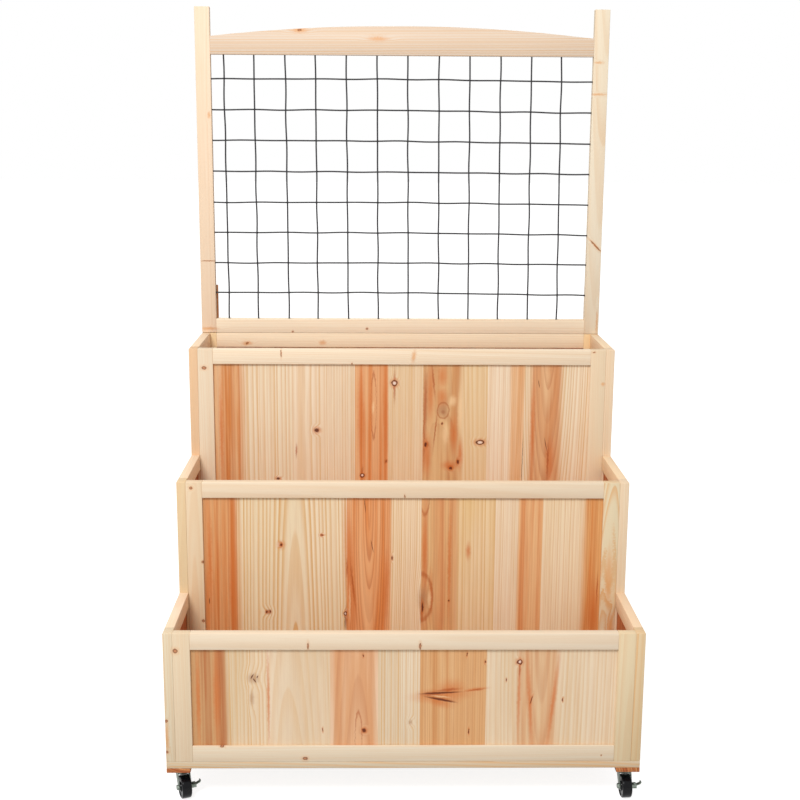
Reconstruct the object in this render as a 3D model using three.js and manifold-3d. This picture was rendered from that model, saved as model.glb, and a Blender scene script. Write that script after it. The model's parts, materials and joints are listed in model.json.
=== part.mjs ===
// A stepped wooden planter of three tiers with a wire trellis, on four casters.
// Millimetres: X runs to the right, Y to the back and Z up. The origin is on the
// floor, under the middle of the object.

import * as THREE from 'three';
import { mergeVertices } from 'three/addons/utils/BufferGeometryUtils.js';
import Module from 'manifold-3d';

const wasm = await Module();
wasm.setup();

// ---- Driving dimensions ----

// Timber. Every frame is made of the same bars, and its panel sits in their grooves.
const BAR_WIDTH = 36;
const BAR_THICKNESS = 20;
const PANEL_THICKNESS = 8;
const PANEL_RECESS = 6; // from the outer face of a frame to its panel
const PANEL_TONGUE = 8; // how far a panel reaches into a groove
const JOINT_GAP = 0.3; // room around a panel or a wire grid in its groove

// The stepped cabinet.
const WIDTH = 1000;
const TIER_DEPTH = 240; // from the front of one tier to the front of the next
const LOWER_FRONT_HEIGHT = 287; // from the base board to the lowest rim
const TIER_RISE = 256; // from one rim to the next
const BASE_THICKNESS = 15;
const RUNNER_WIDTH = 50;
const RUNNER_THICKNESS = 10;
const SOIL_DEPTH = 245; // from a rim down to the raised floor under it
const FLOOR_THICKNESS = 12;

// The trellis, which stands on the back frame.
const POST_HEIGHT = 790;
const TRELLIS_OPENING = 643; // between its bottom rail and its arched rail
const ARCH_END_HEIGHT = 43;
const ARCH_RISE = 26; // how much higher the arched rail is at its middle
const ARCH_STEPS = 24;
const CLEAT_LENGTH = 236; // half of it is above the joint and half is below
const CLEAT_THICKNESS = 12;
const CLEAT_PROUD = 2; // how far a cleat shows past the inner edge of its post

// The welded wire grid.
const WIRE_DIAMETER = 3;
const WIRE_SIDES = 8;
const WIRE_PITCH = 75;
const WIRE_SEAT = 6; // how far a wire end reaches into the frame
const WELD_DEPTH = 0.3; // how far two crossing wires melt into each other
const FIRST_UPRIGHT_WIRE = 31; // from the left post
const FIRST_LEVEL_WIRE = 61; // from the bottom rail

// The casters.
const CASTER_HEIGHT = 70;
const CASTER_INSET = 48; // from the front or back edge of the base to the king pin
const CASTER_TRAIL = 22; // from the king pin to the axle
const PLATE_WIDTH = 48;
const PLATE_LENGTH = 62;
const PLATE_THICKNESS = 2.5;
const PLATE_CORNER = 4;
const SCREW_HOLE_RADIUS = 2.6;
const SCREW_HOLE_MARGIN = 6.5; // from the edges of the plate to a hole's middle
const DISH_RADIUS = 20;
const DISH_FLARE = 2; // how much wider the dish is where it meets the plate
const DISH_HEIGHT = 5.5;
const CROWN_THICKNESS = 2.5;
const KING_PIN_RADIUS = 4.5;
const RIVET_RADIUS = 6.5;
const RIVET_THICKNESS = 2;
const RUNNING_GAP = 0.3; // between any two pieces of a caster that turn on each other
const LEG_THICKNESS = 1.8;
const LEG_HALF_LENGTH = 14; // along the crown
const AXLE_EYE_RADIUS = 7.5;
const AXLE_RADIUS = 3;
const NUT_RADIUS = 5.5;
const NUT_THICKNESS = 4;
const WHEEL_RADIUS = 25;
const WHEEL_HUB_WIDTH = 23;
const WHEEL_HUB_RADIUS = 8;
const WHEEL_TREAD_WIDTH = 21;
const WHEEL_DISC_WIDTH = 17;
const WHEEL_RIM_RADIUS = 20; // where the tread begins
const WHEEL_CROWN_DROP = 1.2; // how much lower the tread is at its edges
const TURNED_SEGMENTS = 24;
const PIN_SIDES = 12;
const KNUCKLE_SIDES = 16;
const NUT_SIDES = 6;
const CURVE_SEGMENTS = 8;
const CORNER_SEGMENTS = 3;
const CUT_MARGIN = 1; // how far a cutting shape runs past what it cuts

// The brake lever on the end of an axle.
const LEVER_PIN_RADIUS = 1.5;
const LEVER_KNUCKLE_RADIUS = 4;
const LEVER_WIDTH = 8.4;
const LEVER_STAND_OFF = 6.2; // from the leg of the fork to the pin
const LEVER_LENGTH = 17; // from the pin to the tip
const LEVER_PLATE = 1.8;
const LEVER_TIP_CURL = 3.4;
const LEVER_RISE_DEGREES = 22; // how far it points up when the brake is off
const EAR_THICKNESS = 1.8;

// ---- Places worked out from the sizes ----

const TIERS = ['lower', 'middle', 'upper'];
const SIDES = [
  { side: 'left', sign: -1 },
  { side: 'right', sign: 1 },
];

// Each caster is turned a little, as it stopped when the planter was last rolled.
const CASTERS = [
  { corner: 'front_left', sign: -1, end: 'front', swivelDegrees: 22, braked: true },
  { corner: 'front_right', sign: 1, end: 'front', swivelDegrees: 3, braked: true },
  { corner: 'rear_left', sign: -1, end: 'rear', swivelDegrees: -10, braked: false },
  { corner: 'rear_right', sign: 1, end: 'rear', swivelDegrees: 14, braked: false },
];

const baseBottom = CASTER_HEIGHT + RUNNER_THICKNESS;
const baseTop = baseBottom + BASE_THICKNESS;
const rimZ = (tier) => baseTop + LOWER_FRONT_HEIGHT + tier * TIER_RISE;

const cabinetDepth = TIERS.length * TIER_DEPTH + BAR_THICKNESS;
const frontY = -(cabinetDepth + CLEAT_THICKNESS) / 2;
const tierY = (tier) => frontY + tier * TIER_DEPTH;
const backFrameY = tierY(TIERS.length);
const cabinetBackY = backFrameY + BAR_THICKNESS;

const outerX = WIDTH / 2;
const sideInnerX = outerX - BAR_THICKNESS;
const postInnerX = outerX - BAR_WIDTH;

const trellisBottom = rimZ(TIERS.length - 1);
const openingBottom = trellisBottom + BAR_WIDTH;
const openingTop = openingBottom + TRELLIS_OPENING;

// ---- Materials ----

const paint = (color, roughness, metalness = 0) => ({ color, roughness, metalness });
const PALE_WOOD = paint(0xefd9b8, 0.62);
const STRIPED_WOOD = paint(0xdfae80, 0.66);
const HEARTWOOD = paint(0xb36a44, 0.68);
const COATED_WIRE = paint(0x17181a, 0.42);
const ZINC = paint(0xb9bcbc, 0.34, 0.9);
const BLACK_PLASTIC = paint(0x0c0c0d, 0.22);

// ---- Shape helpers ----

// A box between two places on each axis.
function boxBetween({ x, y, z }) {
  const box = new THREE.BoxGeometry(x[1] - x[0], y[1] - y[0], z[1] - z[0]);
  return box.translate((x[0] + x[1]) / 2, (y[0] + y[1]) / 2, (z[0] + z[1]) / 2);
}

// The same place with a margin on every face.
function grown({ x, y, z }, margin) {
  const widen = ([low, high]) => [low - margin, high + margin];
  return { x: widen(x), y: widen(y), z: widen(z) };
}

// A span on the left or the right, between two distances from the middle.
function sideSpan(sign, near, far) {
  return sign < 0 ? [-far, -near] : [near, far];
}

// An outline drawn in Y and Z, given its thickness along X.
function extrudeAlongX(shape, [low, high], curveSegments = CURVE_SEGMENTS) {
  const turn = new THREE.Matrix4().makeBasis(
    new THREE.Vector3(0, 1, 0),
    new THREE.Vector3(0, 0, 1),
    new THREE.Vector3(1, 0, 0),
  );
  const options = { depth: high - low, bevelEnabled: false, curveSegments };
  return new THREE.ExtrudeGeometry(shape, options).applyMatrix4(turn).translate(low, 0, 0);
}

// An outline drawn in X and Z, given its thickness along Y.
function extrudeAlongY(shape, [low, high], curveSegments = CURVE_SEGMENTS) {
  const turn = new THREE.Matrix4().makeBasis(
    new THREE.Vector3(1, 0, 0),
    new THREE.Vector3(0, 0, 1),
    new THREE.Vector3(0, -1, 0),
  );
  const options = { depth: high - low, bevelEnabled: false, curveSegments };
  return new THREE.ExtrudeGeometry(shape, options).applyMatrix4(turn).translate(0, high, 0);
}

// A round bar along one axis, between two places on it, around a middle point.
function rod(axis, [low, high], middle, radius, sides = TURNED_SEGMENTS, endRadius = radius) {
  const halfFacet = Math.PI / sides;
  const length = high - low;
  const bar = new THREE.CylinderGeometry(endRadius, radius, length, sides, 1, false, halfFacet);
  if (axis === 'x') {
    bar.rotateZ(-Math.PI / 2);
  }
  if (axis === 'z') {
    bar.rotateX(Math.PI / 2);
  }
  const centre = new THREE.Vector3(...middle);
  centre[axis] = (low + high) / 2;
  return bar.translate(centre.x, centre.y, centre.z);
}

// A closed geometry as a solid that can be joined and cut.
function solid(geometry) {
  const plain = geometry.clone();
  plain.deleteAttribute('normal');
  plain.deleteAttribute('uv');
  const merged = mergeVertices(plain);
  return new wasm.Manifold(new wasm.Mesh({
    numProp: 3,
    vertProperties: new Float32Array(merged.attributes.position.array),
    triVerts: new Uint32Array(merged.index.array),
  }));
}

function toGeometry(body) {
  const { vertProperties, triVerts } = body.getMesh();
  const geometry = new THREE.BufferGeometry();
  geometry.setAttribute('position', new THREE.BufferAttribute(vertProperties, 3));
  geometry.setIndex(new THREE.BufferAttribute(triVerts, 1));
  geometry.computeVertexNormals();
  return geometry;
}

const joined = (...geometries) => wasm.Manifold.union(geometries.map(solid));

// A bar with the groove or pocket that another piece needs in it.
function cutBack(geometry, room) {
  return toGeometry(solid(geometry).subtract(solid(room)));
}

// ---- The scene ----

const planter = new THREE.Group();

// Adds a piece that is drawn in its place, with its own origin at its middle.
function addPiece(name, geometry, look, parent = planter) {
  const middle = new THREE.Vector3();
  geometry.computeBoundingBox();
  geometry.boundingBox.getCenter(middle);
  geometry.translate(-middle.x, -middle.y, -middle.z);
  const piece = new THREE.Mesh(geometry, new THREE.MeshStandardMaterial(look));
  piece.name = name;
  piece.position.copy(middle);
  parent.add(piece);
}

// ---- Base board and runners ----

const baseY = [frontY, cabinetBackY];
const baseBoard = { x: [-outerX, outerX], y: baseY, z: [baseBottom, baseTop] };
addPiece('base_board', boxBetween(baseBoard), PALE_WOOD);

for (const { side, sign } of SIDES) {
  const x = sideSpan(sign, outerX - RUNNER_WIDTH, outerX);
  addPiece(`${side}_runner`, boxBetween({ x, y: baseY, z: [CASTER_HEIGHT, baseBottom] }), HEARTWOOD);
}

// ---- Frames across the cabinet: three fronts and the back ----

// Two stiles, a top rail, a panel in their grooves, and a bottom rail if asked for.
// Without a bottom rail the panel stands on the base board.
function crossFrame(name, frameY, halfWidth, top, hasBottomRail) {
  const y = [frameY, frameY + BAR_THICKNESS];
  const stileInnerX = halfWidth - BAR_WIDTH;
  const railX = [-stileInnerX, stileInnerX];
  const panelHalfWidth = stileInnerX + PANEL_TONGUE;
  const panelBottom = hasBottomRail ? baseTop + BAR_WIDTH - PANEL_TONGUE : baseTop;
  const panel = {
    x: [-panelHalfWidth, panelHalfWidth],
    y: [frameY + PANEL_RECESS, frameY + PANEL_RECESS + PANEL_THICKNESS],
    z: [panelBottom, top - BAR_WIDTH + PANEL_TONGUE],
  };
  const room = boxBetween(grown(panel, JOINT_GAP));

  for (const { side, sign } of SIDES) {
    const stile = { x: sideSpan(sign, stileInnerX, halfWidth), y, z: [baseTop, top] };
    addPiece(`${name}_${side}_stile`, cutBack(boxBetween(stile), room), PALE_WOOD);
  }
  const topRail = { x: railX, y, z: [top - BAR_WIDTH, top] };
  addPiece(`${name}_top_rail`, cutBack(boxBetween(topRail), room), PALE_WOOD);
  if (hasBottomRail) {
    const bottomRail = { x: railX, y, z: [baseTop, baseTop + BAR_WIDTH] };
    addPiece(`${name}_bottom_rail`, cutBack(boxBetween(bottomRail), room), PALE_WOOD);
  }
  addPiece(`${name}_panel`, boxBetween(panel), STRIPED_WOOD);
}

TIERS.forEach((name, tier) => {
  crossFrame(`${name}_front`, tierY(tier), sideInnerX, rimZ(tier), tier === 0);
});
crossFrame('back', backFrameY, outerX, trellisBottom, true);

// ---- Side frames ----

// The stepped outline of a side panel in Y and Z. It runs behind the stiles of the
// two upper tiers, which are slotted to pass over it.
function steppedOutline(margin) {
  const bottom = baseTop + BAR_WIDTH - PANEL_TONGUE - margin;
  const shape = new THREE.Shape();
  let edgeY = backFrameY - JOINT_GAP + margin;
  shape.moveTo(edgeY, bottom);
  for (let tier = TIERS.length - 1; tier >= 0; tier -= 1) {
    const top = rimZ(tier) - BAR_WIDTH + PANEL_TONGUE + margin;
    shape.lineTo(edgeY, top);
    edgeY = tierY(tier) + BAR_WIDTH - PANEL_TONGUE - margin;
    shape.lineTo(edgeY, top);
  }
  shape.lineTo(edgeY, bottom);
  return shape;
}

for (const { side, sign } of SIDES) {
  const x = sideSpan(sign, sideInnerX, outerX);
  const panelFarX = outerX - PANEL_RECESS;
  const panelNearX = panelFarX - PANEL_THICKNESS;
  const roomX = sideSpan(sign, panelNearX - JOINT_GAP, panelFarX + JOINT_GAP);
  const room = extrudeAlongX(steppedOutline(JOINT_GAP), roomX);

  TIERS.forEach((name, tier) => {
    const stileBackY = tierY(tier) + BAR_WIDTH;
    const stileBottom = tier === 0 ? baseTop : baseTop + BAR_WIDTH;
    const stile = { x, y: [tierY(tier), stileBackY], z: [stileBottom, rimZ(tier)] };
    addPiece(`${side}_side_${name}_stile`, cutBack(boxBetween(stile), room), PALE_WOOD);
    const rail = { x, y: [stileBackY, tierY(tier + 1)], z: [rimZ(tier) - BAR_WIDTH, rimZ(tier)] };
    addPiece(`${side}_side_${name}_rail`, cutBack(boxBetween(rail), room), PALE_WOOD);
  });
  const bottomRail = { x, y: [frontY + BAR_WIDTH, backFrameY], z: [baseTop, baseTop + BAR_WIDTH] };
  addPiece(`${side}_side_bottom_rail`, cutBack(boxBetween(bottomRail), room), PALE_WOOD);
  const panel = extrudeAlongX(steppedOutline(0), sideSpan(sign, panelNearX, panelFarX));
  addPiece(`${side}_side_panel`, panel, STRIPED_WOOD);
}

// ---- Raised floors of the two upper tiers ----

for (let tier = 1; tier < TIERS.length; tier += 1) {
  const top = rimZ(tier) - SOIL_DEPTH;
  const floor = {
    x: [-sideInnerX, sideInnerX],
    y: [tierY(tier) + BAR_THICKNESS, tierY(tier + 1)],
    z: [top - FLOOR_THICKNESS, top],
  };
  addPiece(`${TIERS[tier]}_floor`, boxBetween(floor), PALE_WOOD);
}

// ---- Trellis ----

const trellisY = [backFrameY, cabinetBackY];
const wireRadius = WIRE_DIAMETER / 2;
const wireFlat = wireRadius * Math.cos(Math.PI / WIRE_SIDES);
const wirePlanesApart = 2 * wireFlat - WELD_DEPTH;
const gridY = (trellisY[0] + trellisY[1]) / 2;
const gridHalfDepth = wirePlanesApart / 2 + wireRadius;
const gridSpan = {
  x: [-postInnerX - WIRE_SEAT, postInnerX + WIRE_SEAT],
  y: [gridY - gridHalfDepth, gridY + gridHalfDepth],
  z: [openingBottom - WIRE_SEAT, openingTop + WIRE_SEAT],
};
const gridRoom = boxBetween(grown(gridSpan, JOINT_GAP));

for (const { side, sign } of SIDES) {
  const post = {
    x: sideSpan(sign, postInnerX, outerX),
    y: trellisY,
    z: [trellisBottom, trellisBottom + POST_HEIGHT],
  };
  addPiece(`trellis_${side}_post`, cutBack(boxBetween(post), gridRoom), PALE_WOOD);
  const cleatNearX = postInnerX - CLEAT_PROUD;
  const cleat = {
    x: sideSpan(sign, cleatNearX, cleatNearX + BAR_WIDTH),
    y: [cabinetBackY, cabinetBackY + CLEAT_THICKNESS],
    z: [trellisBottom - CLEAT_LENGTH / 2, trellisBottom + CLEAT_LENGTH / 2],
  };
  addPiece(`${side}_cleat`, boxBetween(cleat), HEARTWOOD);
}

const lowRail = { x: [-postInnerX, postInnerX], y: trellisY, z: [trellisBottom, openingBottom] };
addPiece('trellis_bottom_rail', cutBack(boxBetween(lowRail), gridRoom), PALE_WOOD);

// The arched rail has a straight underside, and its top is one arc of a circle.
function archOutline() {
  const endZ = openingTop + ARCH_END_HEIGHT;
  const radius = (postInnerX ** 2 + ARCH_RISE ** 2) / (2 * ARCH_RISE);
  const halfAngle = Math.asin(postInnerX / radius);
  const shape = new THREE.Shape();
  shape.moveTo(-postInnerX, openingTop);
  shape.lineTo(postInnerX, openingTop);
  shape.absarc(
    0,
    endZ + ARCH_RISE - radius,
    radius,
    Math.PI / 2 - halfAngle,
    Math.PI / 2 + halfAngle,
    false,
  );
  return shape;
}
const arch = extrudeAlongY(archOutline(), trellisY, ARCH_STEPS);
addPiece('trellis_arched_rail', cutBack(arch, gridRoom), PALE_WOOD);

// Upright wires in front, level wires behind, welded where they cross.
function wireGrid() {
  const wires = [];
  const wireCount = (room, first) => 1 + Math.floor((room - first - WIRE_DIAMETER) / WIRE_PITCH);
  const uprights = wireCount(2 * postInnerX, FIRST_UPRIGHT_WIRE);
  const levels = wireCount(TRELLIS_OPENING, FIRST_LEVEL_WIRE);
  const frontPlane = gridY - wirePlanesApart / 2;
  const backPlane = gridY + wirePlanesApart / 2;
  for (let i = 0; i < uprights; i += 1) {
    const x = -postInnerX + FIRST_UPRIGHT_WIRE + i * WIRE_PITCH;
    wires.push(rod('z', gridSpan.z, [x, frontPlane, 0], wireRadius, WIRE_SIDES));
  }
  for (let i = 0; i < levels; i += 1) {
    const z = openingBottom + FIRST_LEVEL_WIRE + i * WIRE_PITCH;
    wires.push(rod('x', gridSpan.x, [0, backPlane, z], wireRadius, WIRE_SIDES));
  }
  return toGeometry(joined(...wires));
}
addPiece('wire_grid', wireGrid(), COATED_WIRE);

// ---- Casters ----
// Each is drawn around its king pin, standing on the floor, with its wheel to the front.

const plateBottom = CASTER_HEIGHT - PLATE_THICKNESS;
const dishBottom = plateBottom - DISH_HEIGHT;
const crownTop = dishBottom - RUNNING_GAP;
const crownBottom = crownTop - CROWN_THICKNESS;
const rivetTop = crownBottom - RUNNING_GAP;
const legInnerX = WHEEL_HUB_WIDTH / 2 + RUNNING_GAP;
const legOuterX = legInnerX + LEG_THICKNESS;
const axleY = -CASTER_TRAIL;
const axleZ = WHEEL_RADIUS;
const leverPinX = legOuterX + LEVER_STAND_OFF;

function plateOutline() {
  const x = PLATE_WIDTH / 2;
  const y = PLATE_LENGTH / 2;
  const shape = new THREE.Shape();
  shape.moveTo(-x + PLATE_CORNER, -y);
  shape.lineTo(x - PLATE_CORNER, -y);
  shape.quadraticCurveTo(x, -y, x, -y + PLATE_CORNER);
  shape.lineTo(x, y - PLATE_CORNER);
  shape.quadraticCurveTo(x, y, x - PLATE_CORNER, y);
  shape.lineTo(-x + PLATE_CORNER, y);
  shape.quadraticCurveTo(-x, y, -x, y - PLATE_CORNER);
  shape.lineTo(-x, -y + PLATE_CORNER);
  shape.quadraticCurveTo(-x, -y, -x + PLATE_CORNER, -y);
  for (const holeX of [-x + SCREW_HOLE_MARGIN, x - SCREW_HOLE_MARGIN]) {
    for (const holeY of [-y + SCREW_HOLE_MARGIN, y - SCREW_HOLE_MARGIN]) {
      shape.holes.push(new THREE.Path().absarc(holeX, holeY, SCREW_HOLE_RADIUS, 0, 2 * Math.PI));
    }
  }
  return shape;
}

// The plate, the dish of its ball race, and the king pin with its riveted end.
function casterPlate() {
  const sheet = { depth: PLATE_THICKNESS, bevelEnabled: false, curveSegments: CORNER_SEGMENTS };
  const plate = new THREE.ExtrudeGeometry(plateOutline(), sheet).translate(0, 0, plateBottom);
  const inPlate = plateBottom + PLATE_THICKNESS / 2;
  return toGeometry(joined(
    plate,
    rod('z', [dishBottom, inPlate], [0, 0, 0], DISH_RADIUS, TURNED_SEGMENTS, DISH_RADIUS + DISH_FLARE),
    rod('z', [rivetTop - RIVET_THICKNESS, inPlate], [0, 0, 0], KING_PIN_RADIUS),
    rod('z', [rivetTop - RIVET_THICKNESS, rivetTop], [0, 0, 0], RIVET_RADIUS),
  ));
}

// One leg in Y and Z: broad at the crown, and round about the axle.
function legOutline() {
  const shape = new THREE.Shape();
  shape.moveTo(LEG_HALF_LENGTH, crownTop);
  shape.lineTo(-LEG_HALF_LENGTH, crownTop);
  shape.lineTo(axleY - AXLE_EYE_RADIUS, axleZ);
  shape.absarc(axleY, axleZ, AXLE_EYE_RADIUS, Math.PI, 2 * Math.PI, false);
  return shape;
}

function casterFork(braked) {
  const axleMiddle = [0, axleY, axleZ];
  const parts = [
    rod('z', [crownBottom, crownTop], [0, 0, 0], DISH_RADIUS),
    extrudeAlongX(legOutline(), [-legOuterX, -legInnerX]),
    extrudeAlongX(legOutline(), [legInnerX, legOuterX]),
    rod('x', [-legOuterX, legOuterX], axleMiddle, AXLE_RADIUS),
    rod('x', [-legOuterX - NUT_THICKNESS, -legInnerX], axleMiddle, NUT_RADIUS, NUT_SIDES),
  ];
  if (braked) {
    const nearY = LEVER_WIDTH / 2 + RUNNING_GAP;
    const earX = [legInnerX, leverPinX + LEVER_KNUCKLE_RADIUS];
    const earZ = [axleZ - LEVER_KNUCKLE_RADIUS, axleZ + LEVER_KNUCKLE_RADIUS];
    const earPlaces = [
      [axleY - nearY - EAR_THICKNESS, axleY - nearY],
      [axleY + nearY, axleY + nearY + EAR_THICKNESS],
    ];
    for (const y of earPlaces) {
      parts.push(boxBetween({ x: earX, y, z: earZ }));
    }
    const pinY = [earPlaces[0][0], earPlaces[1][1]];
    parts.push(rod('y', pinY, [leverPinX, 0, axleZ], LEVER_PIN_RADIUS, PIN_SIDES));
  } else {
    const nutX = [legInnerX, legOuterX + NUT_THICKNESS];
    parts.push(rod('x', nutX, axleMiddle, NUT_RADIUS, NUT_SIDES));
  }
  const cutZ = [crownBottom - CUT_MARGIN, crownTop + CUT_MARGIN];
  const pinRoom = rod('z', cutZ, [0, 0, 0], KING_PIN_RADIUS + RUNNING_GAP);
  return toGeometry(joined(...parts).subtract(solid(pinRoom)));
}

// Half of the wheel's section, as distances from the axle and along it.
function wheelProfile() {
  const bore = AXLE_RADIUS + RUNNING_GAP;
  const hub = WHEEL_HUB_WIDTH / 2;
  const disc = WHEEL_DISC_WIDTH / 2;
  const tread = WHEEL_TREAD_WIDTH / 2;
  const outward = [
    [bore, hub],
    [WHEEL_HUB_RADIUS, hub],
    [WHEEL_HUB_RADIUS, disc],
    [WHEEL_RIM_RADIUS, disc],
    [WHEEL_RIM_RADIUS, tread],
    [WHEEL_RADIUS - WHEEL_CROWN_DROP, tread],
    [WHEEL_RADIUS, tread / 2],
  ];
  const inward = outward.map(([radius, along]) => [radius, -along]).reverse();
  return [...outward, ...inward, outward[0]].reverse();
}

// The facets, not their corners, are at the stated radii, so that one lies on the floor.
function casterWheel() {
  const toCorner = 1 / Math.cos(Math.PI / TURNED_SEGMENTS);
  const points = wheelProfile().map(([radius, along]) => new THREE.Vector2(radius * toCorner, along));
  const wheel = new THREE.LatheGeometry(points, TURNED_SEGMENTS, Math.PI / TURNED_SEGMENTS);
  return wheel.rotateZ(Math.PI / 2).translate(0, axleY, axleZ);
}

// The lever lies along X from its pin and is drawn level, with its tip curled up.
function brakeLever() {
  const half = LEVER_PLATE / 2;
  const curlStart = LEVER_LENGTH - LEVER_TIP_CURL;
  const arm = new THREE.Shape();
  arm.moveTo(0, -half);
  arm.lineTo(curlStart, -half);
  arm.lineTo(LEVER_LENGTH, LEVER_TIP_CURL - half);
  arm.lineTo(LEVER_LENGTH - LEVER_PLATE, LEVER_TIP_CURL + half);
  arm.lineTo(curlStart - half, half);
  arm.lineTo(0, half);
  const y = [-LEVER_WIDTH / 2, LEVER_WIDTH / 2];
  const cutY = [y[0] - CUT_MARGIN, y[1] + CUT_MARGIN];
  const pinRoom = rod('y', cutY, [0, 0, 0], LEVER_PIN_RADIUS + RUNNING_GAP, PIN_SIDES);
  const knuckle = rod('y', y, [0, 0, 0], LEVER_KNUCKLE_RADIUS, KNUCKLE_SIDES);
  const body = joined(extrudeAlongY(arm, y), knuckle);
  const lever = toGeometry(body.subtract(solid(pinRoom)));
  lever.rotateY(-THREE.MathUtils.degToRad(LEVER_RISE_DEGREES));
  return lever.translate(leverPinX, axleY, axleZ);
}

for (const { corner, sign, end, swivelDegrees, braked } of CASTERS) {
  const caster = new THREE.Group();
  const pivotX = sign * (outerX - RUNNER_WIDTH / 2);
  const pivotY = end === 'front' ? frontY + CASTER_INSET : cabinetBackY - CASTER_INSET;
  caster.position.set(pivotX, pivotY, 0);
  addPiece(`caster_plate_${corner}`, casterPlate(), ZINC, caster);

  const swivel = new THREE.Group();
  swivel.rotation.z = THREE.MathUtils.degToRad(swivelDegrees);
  addPiece(`caster_fork_${corner}`, casterFork(braked), ZINC, swivel);
  addPiece(`caster_wheel_${corner}`, casterWheel(), BLACK_PLASTIC, swivel);
  if (braked) {
    addPiece(`brake_lever_${corner}`, brakeLever(), ZINC, swivel);
  }
  caster.add(swivel);
  planter.add(caster);
}

export default planter;
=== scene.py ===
# %% [markdown]
# # A tiered wooden planter with a wire trellis
# The real thing is a flat-pack piece of garden furniture: three open boxes, one behind and
# above the other, a frame with a welded grid standing on the last one, and four casters
# under the base board. It is bare, unfinished softwood, so nearly all that is seen is grain.
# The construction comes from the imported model. This script gives it eased edges, timber that
# is cut out of a tree, a grid that isn't quite straight, and rounded, plated casters.

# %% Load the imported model
import json
import random
from collections import namedtuple
from itertools import starmap
from math import cos, hypot, pi, radians, sin

import bpy
from mathutils import Matrix, Vector


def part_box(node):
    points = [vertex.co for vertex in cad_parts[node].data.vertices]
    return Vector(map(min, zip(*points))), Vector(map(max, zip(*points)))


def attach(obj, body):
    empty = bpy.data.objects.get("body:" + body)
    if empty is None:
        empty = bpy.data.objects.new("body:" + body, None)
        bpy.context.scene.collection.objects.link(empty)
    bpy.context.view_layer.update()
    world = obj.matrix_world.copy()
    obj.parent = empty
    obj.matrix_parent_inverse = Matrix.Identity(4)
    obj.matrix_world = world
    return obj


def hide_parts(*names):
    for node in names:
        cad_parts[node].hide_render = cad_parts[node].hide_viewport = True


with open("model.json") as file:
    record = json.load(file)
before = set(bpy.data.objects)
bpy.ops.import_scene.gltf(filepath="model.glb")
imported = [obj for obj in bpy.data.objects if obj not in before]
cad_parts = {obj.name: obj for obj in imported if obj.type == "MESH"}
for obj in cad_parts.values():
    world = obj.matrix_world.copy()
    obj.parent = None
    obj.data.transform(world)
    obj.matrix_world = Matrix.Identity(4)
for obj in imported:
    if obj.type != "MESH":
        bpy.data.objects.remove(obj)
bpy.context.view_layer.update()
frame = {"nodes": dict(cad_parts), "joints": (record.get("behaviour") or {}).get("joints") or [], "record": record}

MM = 0.001
NEAR = 0.1 * MM  # close enough to count as the same place
TIERS = ("lower", "middle", "upper")
SIDES = {"left": -1, "right": 1}
X_AXIS, Y_AXIS, Z_AXIS = Vector((1, 0, 0)), Vector((0, 1, 0)), Vector((0, 0, 1))
AXES = (X_AXIS, Y_AXIS, Z_AXIS)

# %% [markdown]
# ## The camera
# The planter was photographed from a little above and a little left of its middle. The place,
# the turn and the lens below come from matching the corners of the frames, whose real sizes
# are known, to where they lie in the photograph. The lens is given as the photograph's width
# over its focal length, so it holds for any sensor.

# %% Make the camera
PHOTO_WIDTH = 800
FOCAL_PIXELS = 1297.9
CAMERA_PLACE = Vector((-57.5, -2896.2, 1409.5)) * MM
CAMERA_DOWN = radians(11.97)
CAMERA_RIGHT = radians(1.007)
CAMERA_TILT = radians(0.374)

bpy.ops.object.camera_add(location=CAMERA_PLACE)
camera = bpy.context.object
camera.name = "photo_camera"
camera.rotation_euler = (
    Matrix.Rotation(-CAMERA_RIGHT, 3, "Z")
    @ Matrix.Rotation(pi / 2 - CAMERA_DOWN, 3, "X")
    @ Matrix.Rotation(CAMERA_TILT, 3, "Z")
).to_euler()
camera.data.lens = camera.data.sensor_width * FOCAL_PIXELS / PHOTO_WIDTH
bpy.context.scene.camera = camera
print("the lens is", round(camera.data.lens, 2), "mm")

# %% [markdown]
# ## Shader maths as Python
# A material is a graph of small nodes. Wiring it by hand hides the thought behind it, so a
# socket is wrapped in a class whose operators add the Math or Vector Math node that they
# stand for. `1 - mask` then reads like the formula it is. Every other kind of node comes
# from `Shader.add`, which takes the node's type, its settings and what goes into its sockets.

# %% A socket that can be used in an expression
def is_vector(value):
    """Whether a value has three parts."""
    if isinstance(value, Value):
        return value.socket.type in ("VECTOR", "RGBA")
    return isinstance(value, Vector)


class Value:
    """What comes out of a node, with operators that add the node for each step."""

    def __init__(self, shader, socket):
        self.shader = shader
        self.socket = socket

    def step(self, operation, *values):
        """Add the Math node, or for vectors the Vector Math node, of one operation."""
        kind = "ShaderNodeVectorMath" if any(map(is_vector, values)) else "ShaderNodeMath"
        return self.shader.add(kind, {"operation": operation}, dict(enumerate(values)))

    def __add__(self, other):
        return self.step("ADD", self, other)

    __radd__ = __add__

    def __sub__(self, other):
        return self.step("SUBTRACT", self, other)

    def __rsub__(self, other):
        return self.step("SUBTRACT", other, self)

    def __mul__(self, other):
        return self.step("MULTIPLY", self, other)

    __rmul__ = __mul__

    def __truediv__(self, other):
        return self.step("DIVIDE", self, other)

    def dot(self, other):
        return self.step("DOT_PRODUCT", self, other)

    def length(self):
        return self.step("LENGTH", self)

    def fract(self):
        return self.step("FRACT", self)

    def floor(self):
        return self.step("FLOOR", self)

    def smaller(self, other):
        return self.step("MINIMUM", self, other)

    def larger(self, other):
        return self.step("MAXIMUM", self, other)

    def smooth(self, start, end):
        """0 before start, 1 after end, and a soft step between them."""
        settings = {"interpolation_type": "SMOOTHSTEP"}
        inputs = {"Value": self, "From Min": start, "From Max": end}
        return self.shader.add("ShaderNodeMapRange", settings, inputs)

    def fade(self, start, end):
        return 1 - self.smooth(start, end)

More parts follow.
